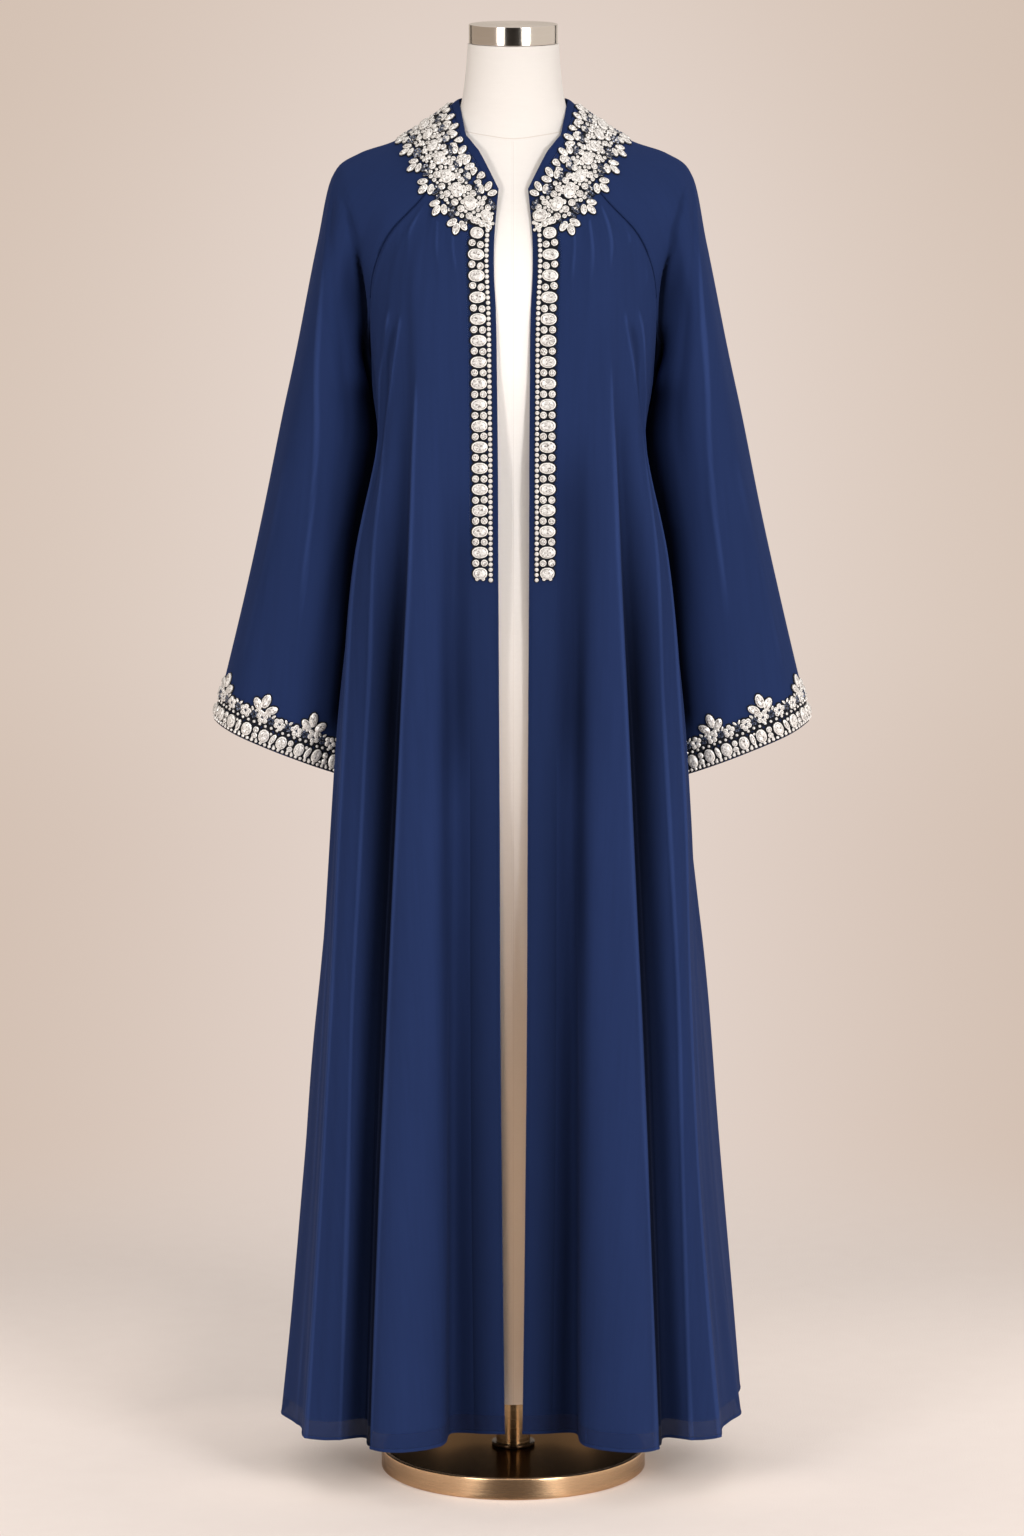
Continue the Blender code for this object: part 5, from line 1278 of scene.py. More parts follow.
class Jewels:
    """Stones in their settings and the black net under them, gathered into one mesh."""

    def __init__(self, seed):
        self.rng = np.random.default_rng(seed)
        self.verts, self.tris, self.mats, self.tones = [], [], [], []
        self.marks = []
        self.count = 0

    def add(self, v, t, m, tone):
        self.verts.append(v)
        self.tris.append(t + self.count)
        self.mats.append(m)
        self.tones.append(tone)
        self.count += len(v)

    def place(self, at, local, turn):
        """Turns an outline and lays it in the tangent plane of (point, ex, ey, n)."""
        o, ex, ey, n = at
        c, s = math.cos(turn), math.sin(turn)
        x = local[:, 0] * c - local[:, 1] * s
        y = local[:, 0] * s + local[:, 1] * c
        return o + x[:, None] * ex + y[:, None] * ey

    def stone(self, at, outline, height, turn=0.0, kind=0, bezel=0.75, lift=1.0, net=1.1):
        """kind 0: clear stone, 1: navy stone, 2: small bead.  lift is the depth of the net under it."""
        rng = self.rng
        k = len(outline)
        o, ex, ey, n = at
        if np.dot(np.cross(ex, ey), n) < 0:
            outline = outline[::-1]
        size = float(np.abs(outline).max())
        small = float(np.abs(outline).max(axis=0).min())
        inner = max(0.55, 1 - bezel / small)
        tilt = rng.normal(0, 0.035, 2)
        nn = unit(n + tilt[0] * ex + tilt[1] * ey)
        base = self.place(at, outline, turn) + n * lift
        mid = base.mean(0)
        spoke = base - mid
        angle = np.arctan2(spoke @ ey, spoke @ ex)
        order = np.argsort(angle)
        self.marks.append((mid, ex, ey, base, angle[order], np.linalg.norm(spoke, axis=1)[order]))
        ring = lambda f, z: mid + (base - mid) * f + nn * z
        crown_f = 0.56 if kind != 2 else 0.50
        half = (base + np.roll(base, -1, axis=0)) / 2
        great = kind == 0 and small > 4.9
        rows = [base, ring(1.0, 0.42 * height), ring(inner + 0.03, 0.60 * height)]
        if great:
            rows.append(mid + (half - mid) * 0.79 * inner / 0.9 + nn * height * 0.86)
            rows.append(ring(0.50 * inner / 0.9, height))
        else:
            rows.append(mid + (half - mid) * crown_f * inner / 0.9 + nn * height)
        top = mid + nn * height * (0.90 if kind != 2 else 1.06)
        verts = np.concatenate(rows + [top[None], mid[None] + 0 * top])
        i = np.arange(k)
        j = (i + 1) % k
        t, m, tone = [], [], []

        def band(a, b, mat, lo, hi, alternate=False):
            one = np.stack([a * k + i, a * k + j, b * k + i], 1)
            if alternate:
                two = np.stack([b * k + i, a * k + j, b * k + j], 1)
            else:
                two = np.stack([b * k + i, a * k + j, b * k + j], 1)
            t.append(one)
            t.append(two)
            m.append(np.full(2 * k, mat))
            q = rng.uniform(lo, hi, (2, k))
            if not alternate:
                q[1] = q[0]
            tone.append(q.ravel())

        clear = 1 if kind != 1 else 2
        lo = 0.0 if kind != 2 else 0.55
        # painted reflections: the setting's sides dark, its rim bright, the crown's facets each dark or bright at
        # random and some of the table's facets dark
        band(0, 1, 0, 0.2, 0.5)
        band(1, 2, 0 if kind != 1 else 2, 0.85, 1.0)
        band(2, 3, clear, 0.02 if kind != 2 else 0.65, 0.98, True)
        if great:
            band(3, 4, clear, 0.30, 1.0, True)
        last = len(rows) - 1
        t.append(np.stack([last * k + i, last * k + j, np.full(k, (last + 1) * k)], 1))
        m.append(np.full(k, clear))
        table = rng.uniform(0.62, 1.0, k) if kind != 2 else rng.uniform(0.75, 1.0, k)
        if kind == 0:
            table[rng.integers(0, k, max(1, k // 3))] = rng.uniform(-0.1, 0.3)
        tone.append(table)
        t.append(np.stack([j, i, np.full(k, (last + 1) * k + 1)], 1))
        m.append(np.full(k, 0))
        tone.append(np.full(k, 0.3))
        self.add(verts, np.concatenate(t), np.concatenate(m), np.concatenate(tone))
        if net:
            self.net(at, outline, turn, net, lift)

    def net(self, at, outline, turn, more, depth=1.0):
        """A pad of black net a little larger than the stone over it; the rim that shows round the stone is partly
        painted shade, a dark outline where the stone's shadow falls.
        """
        o, ex, ey, n = at
        k = len(outline)
        r = np.linalg.norm(outline, axis=1, keepdims=True)
        wide = outline * (r + more) / np.maximum(r, 0.1)
        foot = self.place(at, wide, turn) + n * 0.12
        jitter = self.rng.uniform(0, 0.08)
        head = self.place(at, outline * (r + more * 0.6) / np.maximum(r, 0.1), turn) + n * (depth * 0.92 + jitter)
        i = np.arange(k)
        j = (i + 1) % k
        verts = np.concatenate([foot, head, head.mean(0)[None], foot.mean(0)[None]])
        t = np.concatenate([np.stack([i, j, k + i], 1), np.stack([k + i, j, k + j], 1),
                            np.stack([k + i, k + j, np.full(k, 2 * k)], 1), np.stack([j, i, np.full(k, 2 * k + 1)], 1)])
        self.add(verts, t, np.full(4 * k, 3), np.full(4 * k, 0.5))

    def build(self, name, replaced, materials):
        ob = make_object(name, np.concatenate(self.verts), [np.concatenate(self.tris)], materials,
                         face_material=np.concatenate(self.mats), shade=False, face_values={"tone": np.clip(np.concatenate(self.tones), 0, 1)})
        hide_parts(replaced)
        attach(ob, "root")
        return ob


JEWEL_MATERIALS = [SETTING, CRYSTAL, NAVY_CRYSTAL, BLACK_NET]


class Strip:
    """A band of cloth that carries stones: asks for a point by distance along it and distance across it (mm)."""

    def __init__(self, p, n, measure_row, across_scale=None):
        # p[row, column]; columns run along the strip, rows across it
        self.p, self.n = p, n
        self.along = lengths(p, 1)[measure_row]
        self.across = lengths(p, 0)
        self.total = float(self.along[-1])
        self.full = self.across[-1]

    def at(self, s, t, scaled=None):
        """Point, direction along, direction across (away from row 0) and normal."""
        rows, cols = self.p.shape[:2]
        s = min(max(s, 0.0), self.total)
        c = min(max(float(np.interp(s, self.along, np.arange(cols))), 0.001), cols - 1.001)
        c0 = int(c)
        fc = c - c0
        depth = self.full[c0] * (1 - fc) + self.full[c0 + 1] * fc
        tt = t * (depth / scaled if scaled else 1.0)
        lane = self.across[:, c0] * (1 - fc) + self.across[:, c0 + 1] * fc
        r = min(max(float(np.interp(tt, lane, np.arange(rows))), 0.001), rows - 1.001)
        r0 = int(r)
        fr = r - r0
        g = lambda q: (q[r0, c0] * (1 - fr) * (1 - fc) + q[r0, c0 + 1] * (1 - fr) * fc + q[r0 + 1, c0] * fr * (1 - fc) + q[r0 + 1, c0 + 1] * fr * fc)
        o, n = g(self.p), unit(g(self.n))
        ex = (self.p[r0, c0 + 1] - self.p[r0, c0]) * (1 - fr) + (self.p[r0 + 1, c0 + 1] - self.p[r0 + 1, c0]) * fr
        ex = unit(ex - n * np.dot(ex, n))
        ey = (self.p[r0 + 1, c0] - self.p[r0, c0]) * (1 - fc) + (self.p[r0 + 1, c0 + 1] - self.p[r0, c0 + 1]) * fc
        ey = unit(ey - n * np.dot(ey, n) - ex * np.dot(ey, ex))
        return (o, ex, ey, n), c, depth


    def walk(self, s, t, dx, dy, scaled=None):
        """The (s, t) of the point dx along and dy across from (s, t), measured square in the cloth's plane."""
        o, ex, ey, n = self.at(s, t, scaled)[0]
        goal = o + dx * ex + dy * ey
        s1, t1 = s + dx, t + dy
        for _ in range(5):
            s1 = min(max(s1, 1.2), self.total - 1.2)
            here = self.at(s1, t1, scaled)[0][0]
            a = (self.at(s1 + 1.0, t1, scaled)[0][0] - self.at(s1 - 1.0, t1, scaled)[0][0]) / 2.0
            b = (self.at(s1, t1 + 1.0, scaled)[0][0] - self.at(s1, t1 - 1.0, scaled)[0][0]) / 2.0
            gap = goal - here
            m = np.array([[a @ a, a @ b], [a @ b, b @ b]]) + np.eye(2) * 1e-6
            step = np.linalg.solve(m, np.array([a @ gap, b @ gap]))
            s1, t1 = s1 + float(np.clip(step[0], -8, 8)), t1 + float(np.clip(step[1], -8, 8))
        return s1, t1


def fill(strip, marks, lo, hi, scaled, place, biggest=5.8, least=2.7, gap=0.30, step=1.25, allow=None):
    """Sets small stones into the open places left between the others, the widest place first."""
    s, t = np.meshgrid(np.arange(3.0, strip.total - 3.0, step), np.arange(lo, hi, step), indexing="ij")
    s, t = s.ravel(), t.ravel()
    if allow is not None:
        keep = np.array([allow(a, b) for a, b in zip(s, t)])
        s, t = s[keep], t[keep]
    p = np.array([strip.at(a, b, scaled)[0][0] for a, b in zip(s, t)])
    clear = np.full(len(p), 30.0)
    for mid, ex, ey, base, angle, r in marks:
        d = p - mid
        near = np.flatnonzero((d * d).sum(1) < (r.max() + 7.0) ** 2)
        if not len(near):
            continue
        d = d[near]
        x, y = d @ ex, d @ ey
        edge = np.interp(np.arctan2(y, x), np.concatenate([[angle[-1] - 2 * np.pi], angle, [angle[0] + 2 * np.pi]]),
                         np.concatenate([[r[-1]], r, [r[0]]]))
        out = np.hypot(x, y) - edge
        tips = np.linalg.norm(p[near][:, None] - base[None], axis=2).min(1)
        clear[near] = np.minimum(clear[near], np.where(out > 0, np.minimum(out, tips), 0.0))
    while True:
        i = int(np.argmax(clear))
        size = min(biggest, 2 * (clear[i] - gap))
        if size < least:
            break
        place(float(s[i]), float(t[i]), size)
        clear = np.minimum(clear, np.linalg.norm(p - p[i], axis=1) - size / 2)
        clear[i] = 0.0


CLEAR_OF_CLOTH = 0.35


def lifted(at, more=0.0):
    o, ex, ey, n = at
    return (o + n * (CLEAR_OF_CLOTH + more), ex, ey, n)


# ---------------------------------------------------------------- the collar's jewels
v = np.linspace(0.0, V_COLLAR, 61)
rp, rn, rcols = ring(v)
collar = Strip(rp, unit(rn), 32)
parts = {k: Jewels(q) for k, q in (("left", 5), ("back", 6), ("right", 7))}
MOTIFS = 28
pitch = collar.total / MOTIFS


def in_part(c):
    """Which collar piece a column belongs to: the split runs down the shoulder ridges."""
    part, q = rcols[int(round(c))]
    part = int(part)
    if part == 0 or (part == 1 and q < SHEETS["sleeve", -1].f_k[7]):
        return parts["left"]
    if part == 4 or (part == 3 and q < SHEETS["sleeve", 1].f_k[7]):
        return parts["right"]
    return parts["back"]


def free_of_front_strip(c, t, depth, reach):
    """False where the front trims take over below the collar's middle row."""
    part, q = rcols[int(round(c))]
    side = -1 if part == 0 else 1
    if part not in (0, 4):
        return True
    return not (t > 62.0 and q < SHEETS["front", side].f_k[1] + 4.0 + reach)


def swept(s, t):
    """Over the fronts the motifs lean down toward the open edges: the place and the lean of a stone at (s, t)."""
    way = 1.0 if s < collar.total / 2 else -1.0
    e = s if way > 0 else collar.total - s
    w = float(smooth(np.array((165.0 - e) / 120.0)))
    beyond = 7.0 * float(smooth(np.array((t - 52.0) / 14.0)))
    return s - way * w * (0.40 * (t - 48.0) + beyond), -way * 0.46 * w


def put(s, t, outline, height, turn, kind=0, bezel=0.75, net=1.1, reach=0.0, **more):
    set_in(swept(s, t)[0], t, outline, height, turn, kind, bezel, net, reach, **more)


def pad(s, t, outline, reach=0.0):
    """A patch of black net between the stones."""
    s = swept(s, t)[0]
    if s < 9.0 or s > collar.total - 9.0:
        return
    at, c, depth = collar.at(s, t, 90.0)
    if free_of_front_strip(c, t, depth, reach):
        in_part(c).net(lifted(at), outline, 0.0, 0.01, 0.75)


def set_in(s, t, outline, height, turn, kind=0, bezel=0.75, net=1.1, reach=0.0, **more):
    if s < 2.0 or s > collar.total - 2.0:
        return
    at, c, depth = collar.at(s, t, 90.0)
    if not free_of_front_strip(c, t, depth, reach):
        return
    k = (depth / 90.0) ** 0.35
    in_part(c).stone(lifted(at), outline * k, height, turn, kind, bezel, net=net, **more)


layout = np.random.default_rng(17)


def petal(s, t, angle, out, outline, height, **more):
    """A stone on a stalk: out from (s, t) in the direction angle (0 points away from the neckline), its tip pointing the same way."""
    foot, lean = swept(s, t)
    if foot < 0.5 or foot > collar.total - 0.5:
        return
    angle += lean
    s1, t1 = collar.walk(foot, t, out * math.sin(angle), out * math.cos(angle), 90.0)
    set_in(s1, t1, outline, height, -angle, **more)


def outer_sprig(s, lean, big=1.0, t=68.0, reach=4.0):
    """Three long petals that point away from the neck, with two rounds at their foot."""
    petal(s, t, lean, 12.6 * big, outline_leaf(12, 7.3 * big, 12.6 * big, 0.95), 2.8, net=1.3, reach=reach)
    petal(s, t, lean - 0.72, 9.4 * big, outline_leaf(12, 7.0 * big, 11.6 * big, 0.95), 2.7, net=1.3, reach=reach)
    petal(s, t, lean + 0.72, 9.4 * big, outline_leaf(12, 7.0 * big, 11.6 * big, 0.95), 2.7, net=1.3, reach=reach)
    for q in (-1, 1):
        petal(s, t - 2.6, q * 1.57, 2.7, outline_round(8, 4.6), 2.3, net=1.4, reach=reach)


def inner_sprig(s, lean, four):
    """Petals that point to the neckline: three long ones, or four round ones set like a butterfly."""
    if four:
        for q in (-1, 1):
            petal(s, 28.6, math.pi + q * 0.42 + lean, 11.0, outline_drop(10, 7.2, 9.6), 2.7, net=1.3)
            petal(s, 28.6, math.pi + q * 1.20 + lean, 6.4, outline_drop(10, 6.4, 7.6), 2.6, net=1.3)
    else:
        petal(s, 29.5, math.pi + lean, 12.4, outline_leaf(12, 7.0, 12.0, 0.95), 2.7, net=1.3)
        for q in (-1, 1):
            petal(s, 29.5, math.pi + q * 0.74 + lean, 9.4, outline_leaf(12, 6.7, 11.0, 0.95), 2.6, net=1.3)
        put(s, 30.6, outline_round(8, 5.0), 2.3, 0, net=1.4)


for i in range(-1, MOTIFS + 1):
    s = (i + 0.5) * pitch
    wob = layout.normal(0, 0.5)
    lean = layout.normal(0, 0.09)
    # the great stone of the middle row
    put(s, 48 + wob, outline_cushion(16, 16.4 + layout.normal(0, 0.6), 12.8 + layout.normal(0, 0.5), 2.15), 3.8,
        lean + layout.choice([-0.5, -0.2, 0.3]), bezel=0.9, net=1.8)
    for q in (-1, 1):
        put(s + q * 4.2, 37.2 + wob * 0.5, outline_round(9, 7.2), 2.8, 0, net=1.8)
        put(s + q * 4.7, 59.4 + wob * 0.4, outline_round(9, 7.6), 2.9, 0, net=1.8)
        # little stones between the great ones
        put(s + q * (pitch / 2 - 0.2), 48 + q * 4.4, outline_cushion(8, 5.2, 4.8), 2.3, 0.4, net=1.6)
    inner_sprig(s, lean, i % 3 == 1)
    outer_sprig(s + wob * 0.5, lean * 0.7, 1.0 + layout.normal(0, 0.03), reach=-2.5)
    for q in (-1, 1):
        pad(s, 48.0 + q * 11.5, outline_cushion(12, 13.0, 13.0, 3.0), 9.0)
    # navy stones and specks fill the gaps between the sprigs
    g = s + pitch / 2
    pad(g, 48.0, outline_cushion(14, 11.0, 27.0, 3.0), 8.0)
    if -12 < g < collar.total + 12:
        for k in range(7):
            a = 2 * np.pi * k / 6 + layout.uniform(-0.3, 0.3)
            r = 0.0 if k == 6 else 3.3
            put(g + r * np.cos(a), 29.6 + r * np.sin(a), outline_round(6, 3.7 + layout.uniform(-0.4, 0.4)), 2.2, 0.3, kind=1, bezel=0.3, net=1.2)
            put(g + 1.2 * r * np.cos(a), 68.4 + 1.25 * r * np.sin(a), outline_round(6, 3.9 + layout.uniform(-0.4, 0.4)), 2.2, 0.3, kind=1, bezel=0.3, net=1.2, reach=2)
        for k in range(4):
            put(g + layout.uniform(-3.4, 3.4), 29.6 + layout.uniform(-3.2, 3.2), outline_round(6, 1.8), 1.3, 0, kind=2, bezel=0.2, net=0.5, lift=2.0)
            put(g + layout.uniform(-3.8, 3.8), 68.4 + layout.uniform(-3.2, 3.2), outline_round(6, 1.9), 1.3, 0, kind=2, bezel=0.2, net=0.5, reach=2, lift=2.0)
        for q in (-1, 1):
            put(g + q * 1.9, 40.4, outline_round(7, 3.6), 2.0, 0, kind=2, bezel=0.3, net=1.6)
            put(g + q * 2.4, 57.6, outline_round(7, 4.0), 2.0, 0, kind=2, bezel=0.3, net=1.6)
# small stones close up what is left between the great ones


def close_up(s, t, size):
    set_in(s, t, outline_round(8, size), 1.5 + 0.18 * size, 0.4 * s, 0 if size > 3.6 else 2, 0.5, 0.9, -60.0, lift=1.3)


fill(collar, [m for q in parts.values() for m in q.marks], 34.0, 66.0, 90.0, close_up,
     allow=lambda a, b: free_of_front_strip(collar.at(a, b, 90.0)[1], b, 90.0, 1.0))
for w, q in parts.items():
    pieces["collar", w] = q.build("jewels_collar_" + w, "collar_trim_" + w, JEWEL_MATERIALS)


# ---------------------------------------------------------------- the front strips' jewels
for s in (-1, 1):
    knots = SHEETS["front", s].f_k
    u = np.linspace(0.0, knots[1], 24)
    v = np.linspace(52.0, V_TRIM_FOOT + 6.0, 240)
    p, n = SHEETS["front", s].frame(u, v, -s)
    strip = Strip(p.transpose(1, 0, 2), n.transpose(1, 0, 2), 10)
    j = Jewels(40 + s)
    rng = j.rng
    length = strip.total
    count = int(round((length - 26.5) / 22.5)) + 1
    step = (length - 26.5) / (count - 1)
    centre = 19.3
    for i in range(count):
        y = 15.0 + i * step
        at, _, _ = strip.at(y, centre)
        o, ex, ey, nn = at
        # across the strip lies the stone's long side
        turn = rng.normal(0, 0.03)
        first = i == 0
        j.stone(lifted(at), outline_cushion(16, 12.0 + rng.normal(0, 0.3), 14.0 if first else 15.2 if i == count - 1 else 17.0, 2.2), 3.6, turn, bezel=0.95, net=1.5)
        if i:
            at, _, _ = strip.at(y - step / 2, centre)
            j.net(lifted(at), outline_cushion(14, step * 0.66, 15.8, 4.0), 0.0, 0.01, 0.75)
        for q in (-1, 1):
            at, _, _ = strip.at(y - step / 2 + rng.normal(0, 0.2), centre + q * 4.5)
            j.stone(lifted(at), outline_cushion(10, 7.6 + rng.normal(0, 0.25), 7.4, 2.0), 2.9, rng.uniform(0, 0.8), net=1.5)
        if i == count - 1:
            for q in (-1, 1):
                at, _, _ = strip.at(y + 5.9, centre + q * 3.3)
                j.stone(lifted(at), outline_round(8, 3.8), 2.4, 0.3, net=1.2)
    beads = int((length - 10.0) / 5.45)
    for i in range(beads):
        at, _, _ = strip.at(9.0 + i * (length - 13.4) / (beads - 1), 8.2)
        j.stone(lifted(at), outline_round(8, 4.5 + rng.normal(0, 0.12)), 2.2, rng.uniform(0, 1), kind=2, bezel=0.4, net=1.1)
    # small stones at the corner where the strip meets the collar
    for y, x in ((4.0, 11.0), (6.0, 6.4), (0.5, 6.0)):
        at, _, _ = strip.at(y, x)
        j.stone(lifted(at), outline_round(7, 4.2), 2.2, 0.4, kind=2, bezel=0.4, net=1.0)
    pieces["strip", s] = j.build("jewels_front_" + WAY[s], "front_trim_" + WAY[s], JEWEL_MATERIALS)


# ---------------------------------------------------------------- the cuffs' jewels
for s in (-1, 1):
    knots = SHEETS["sleeve", s].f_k
    u = np.linspace(knots[0], knots[-1], 260)
    v = np.linspace(CUFF_END, CUFF_END - 56.0, 40)
    side = -s
    p, n = SHEETS["sleeve", s].frame(u, v, side)
    cuff = Strip(p, n, 6)
    j = Jewels(60 + s)
    rng = j.rng
    count = 21
    step = cuff.total / count

    def jewel(x, t, outline, height, turn, **more):
        at, _, _ = cuff.at(x % cuff.total if 1.2 < x % cuff.total < cuff.total - 1.2 else min(max(x % cuff.total, 1.4), cuff.total - 1.4), t)
        j.stone(lifted(at), outline, height, turn, **more)

    for i in range(count):
        x = (i + 0.5) * step
        lean = rng.normal(0, 0.10)
        jewel(x, 12.5, outline_cushion(14, 11.2 + rng.normal(0, 0.5), 14.6 + rng.normal(0, 0.4), 2.1), 3.6, lean, bezel=0.9, net=2.2)
        # between the great stones: a leaf on one side, two rounds on the other
        g = x + step / 2
        if i % 2:
            jewel(g, 12.4, outline_leaf(10, 5.2, 13.2, 1.0), 2.9, lean + 0.12, net=2.0)
        else:
            jewel(g - 0.4, 15.9, outline_cushion(9, 6.0, 6.6, 2.0), 2.7, 0, net=2.0)
            jewel(g + 0.3, 9.1, outline_cushion(9, 6.0, 6.2, 2.0), 2.7, 0.3, net=2.0)
        jewel(g - 2.3, 5.6, outline_round(6, 2.6), 1.6, 0, kind=2, bezel=0.3, net=0.9)
        jewel(g + 2.3, 5.6, outline_round(6, 2.6), 1.6, 0, kind=2, bezel=0.3, net=0.9)
        for k in range(4):
            jewel(x + (k - 1.5) * step / 4, 3.6, outline_round(6, 3.6 + rng.normal(0, 0.15)), 1.9, rng.uniform(0, 1), kind=2, bezel=0.35, net=1.8)
        for k in range(3):
            jewel(x + (k - 1) * step / 3, 23.3 + rng.normal(0, 0.25), outline_round(7, 3.2), 1.8, rng.uniform(0, 1), kind=2, bezel=0.35, net=2.4)
        # a flower of five rounds about a dark heart
        cx, cy = x + step * 0.25, 31.2
        turn = rng.uniform(0, 2)
        for k in range(5):
            a = turn + 2 * np.pi * k / 5
            jewel(cx + 4.1 * np.cos(a), cy + 4.1 * np.sin(a), outline_round(8, 5.6), 2.6, a, net=1.6)
        jewel(cx, cy, outline_round(6, 2.6), 1.6, 0, kind=1, bezel=0.3, net=1.2)
        # navy stones and slips between the flowers
        hx = cx + step / 2
        for k in range(5):
            a = 2 * np.pi * k / 5 + rng.uniform(-0.3, 0.3)
            jewel(hx + 2.5 * np.cos(a), 31.0 + 3.0 * np.sin(a), outline_round(6, 3.6), 2.0, a, kind=1, bezel=0.3, net=1.4)
        jewel(hx - 2.6, 36.6, outline_leaf(8, 2.6, 5.2), 1.7, 0.6, net=0.7)
        jewel(hx + 2.6, 36.4, outline_leaf(8, 2.6, 5.2), 1.7, -0.6, net=0.7)
        if i % 3 == 0:
            # a sprig of three petals over every third flower
            big = 1.0 + rng.normal(0, 0.05)
            for a, out, wide, long in ((lean, 14.6, 9.0, 15.6), (lean - 0.78, 11.6, 8.2, 13.6), (lean + 0.78, 11.6, 8.2, 13.6)):
                jewel(cx + out * big * math.sin(a), 34.6 + out * big * math.cos(a), outline_leaf(12, wide * big, long * big, 0.95), 3.0, -a, net=1.3)
            for q in (-1, 1):
                jewel(cx + q * 3.2, 36.4, outline_round(8, 5.0), 2.3, 0, net=1.3)
    fill(cuff, list(j.marks), 5.0, 36.0, None,
         lambda x, t, size: jewel(x, t, outline_round(8, size), 1.4 + 0.18 * size, 0.3 * x, kind=0 if size > 3.6 else 2, bezel=0.5, net=1.3, lift=1.3),
         biggest=4.2, gap=0.35, allow=lambda a, b: not 18.6 < b < 27.6)
    pieces["cuff", s] = j.build("jewels_cuff_" + WAY[s], "cuff_trim_" + WAY[s], JEWEL_MATERIALS)
    # the dark piping under the cuff's lowest beads is part of the cuff mesh's net


# ---------------------------------------------------------------- the dress form and its stand
CAP_TOP = 1576.4
CAP_HEIGHT = 20.0
CAP_RADIUS = 47.2
POLE_RADIUS = 18.6
FLANGE_RADIUS = 23.5
FLANGE_TOP = 27.5
BASE_RADIUS = 144.3
BASE_HEIGHT = 24.0
TOUCH = 0.3
# height, half width, depth to the front, depth to the back
FORM_SECTIONS = (
    (1556.0, 48.2, 46.8, 46.8), (1530.0, 50.2, 47.4, 47.0), (1502.0, 53.4, 47.2, 46.2), (1484.0, 58.0, 45.0, 46.5),
    (1466.0, 72.0, 43.5, 48.0), (1452.0, 97.0, 45.0, 51.0), (1440.0, 125.0, 49.0, 55.0), (1427.0, 148.0, 54.0, 61.0),
    (1408.0, 160.0, 63.0, 70.0), (1375.0, 158.0, 82.0, 86.0), (1330.0, 150.0, 101.0, 96.0), (1285.0, 142.0, 109.0, 99.0),
    (1225.0, 136.0, 107.0, 97.0), (1160.0, 127.0, 96.0, 88.0), (1080.0, 116.0, 85.0, 80.0), (990.0, 124.0, 90.0, 90.0),
    (890.0, 134.0, 97.0, 98.0), (800.0, 130.0, 96.0, 96.0), (700.0, 108.0, 88.0, 87.0), (600.0, 83.0, 75.0, 74.0),
    (490.0, 64.0, 62.0, 61.0), (360.0, 53.0, 53.0, 53.0), (90.0, 45.0, 45.0, 45.0), (79.0, 42.0, 42.0, 42.0),
)


def tube(rings):
    """A closed mesh from rings running down, quads round it and a fan at each end: points and faces by corner count."""
    n, m = rings.shape[:2]
    verts = np.concatenate([rings.reshape(-1, 3), rings[0].mean(0)[None], rings[-1].mean(0)[None]])
    idx = np.arange(n * m).reshape(n, m)
    nxt = np.roll(idx, -1, axis=1)
    quads = np.stack([idx[:-1].ravel(), idx[1:].ravel(), nxt[1:].ravel(), nxt[:-1].ravel()], 1)
    ends = np.concatenate([np.stack([idx[0], nxt[0], np.full(m, n * m)], 1), np.stack([nxt[-1], idx[-1], np.full(m, n * m + 1)], 1)])
    return verts, quads, ends


sections = np.array(FORM_SECTIONS)
FORM_SIDES = 120
knots = np.concatenate([[0], np.cumsum(np.hypot(np.diff(sections[:, 0]), np.diff(sections[:, 1])))])
parts_per_span = np.clip(np.round(np.diff(knots) / (9)).astype(int), 2, 12)
at = np.concatenate([np.linspace(a, b, k, endpoint=False) for a, b, k in zip(knots[:-1], knots[1:], parts_per_span)] + [[knots[-1]]])
rows = pchip(knots, sections, at)
a = np.linspace(0, 2 * np.pi, FORM_SIDES, endpoint=False)
rings = np.stack([np.stack([half * np.cos(a), np.where(np.sin(a) < 0, front, back) * np.sin(a), np.full(len(a), z)], 1) for z, half, front, back in rows])
verts, quads, ends = tube(rings)
ang = np.abs(np.arctan2(verts[:, 0], -verts[:, 1]))            # 0 at the front, pi at the back
neck_line = np.interp(ang, (0, 0.25, 0.75, 1.35, 2.2, np.pi), (NECK_SEAM[0], NECK_SEAM[1], NECK_SEAM[2], NECK_SEAM[3], 1482.0, 1488.0))
neck_seam = verts[:, 2] - neck_line
mid_seam = np.where(neck_seam < 0, verts[:, 0], 60.0)
ob = make_object("form_cover", verts, [quads, ends], [LINEN], sharp=60, point_values={"neck_seam": neck_seam, "mid_seam": mid_seam})
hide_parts("form_body")
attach(ob, "root")
pieces["form"] = ob


def turned(name, profile, sides, materials, top_from=None, top_to=None):
    """A solid turned about the z axis; the profile (radius, height) runs down from the top's middle.  Faces from the
    top down to top_to take the second material; top_from is not used.
    """
    a = np.linspace(0, 2 * np.pi, sides, endpoint=False)
    rings = np.stack([np.stack([r * np.cos(a), r * np.sin(a), np.full(sides, z)], 1) for r, z in profile])
    verts, quads, ends = tube(rings)
    m = np.zeros(len(quads) + len(ends), int)
    if top_to:
        m[: top_to * sides] = 1
        m[len(quads): len(quads) + sides] = 1
    return make_object(name, verts, [quads, ends], materials, face_material=m, sharp=38)


def rounded(r, z, bevel, steps=5, down=True):
    """Profile points round an outer corner at radius r and height z."""
    q = np.linspace(0, np.pi / 2, steps)
    return [(r - bevel + bevel * math.sin(k), z - bevel + bevel * math.cos(k)) for k in q] if down else \
        [(r - bevel + bevel * math.cos(k), z + bevel - bevel * math.sin(k)) for k in q]


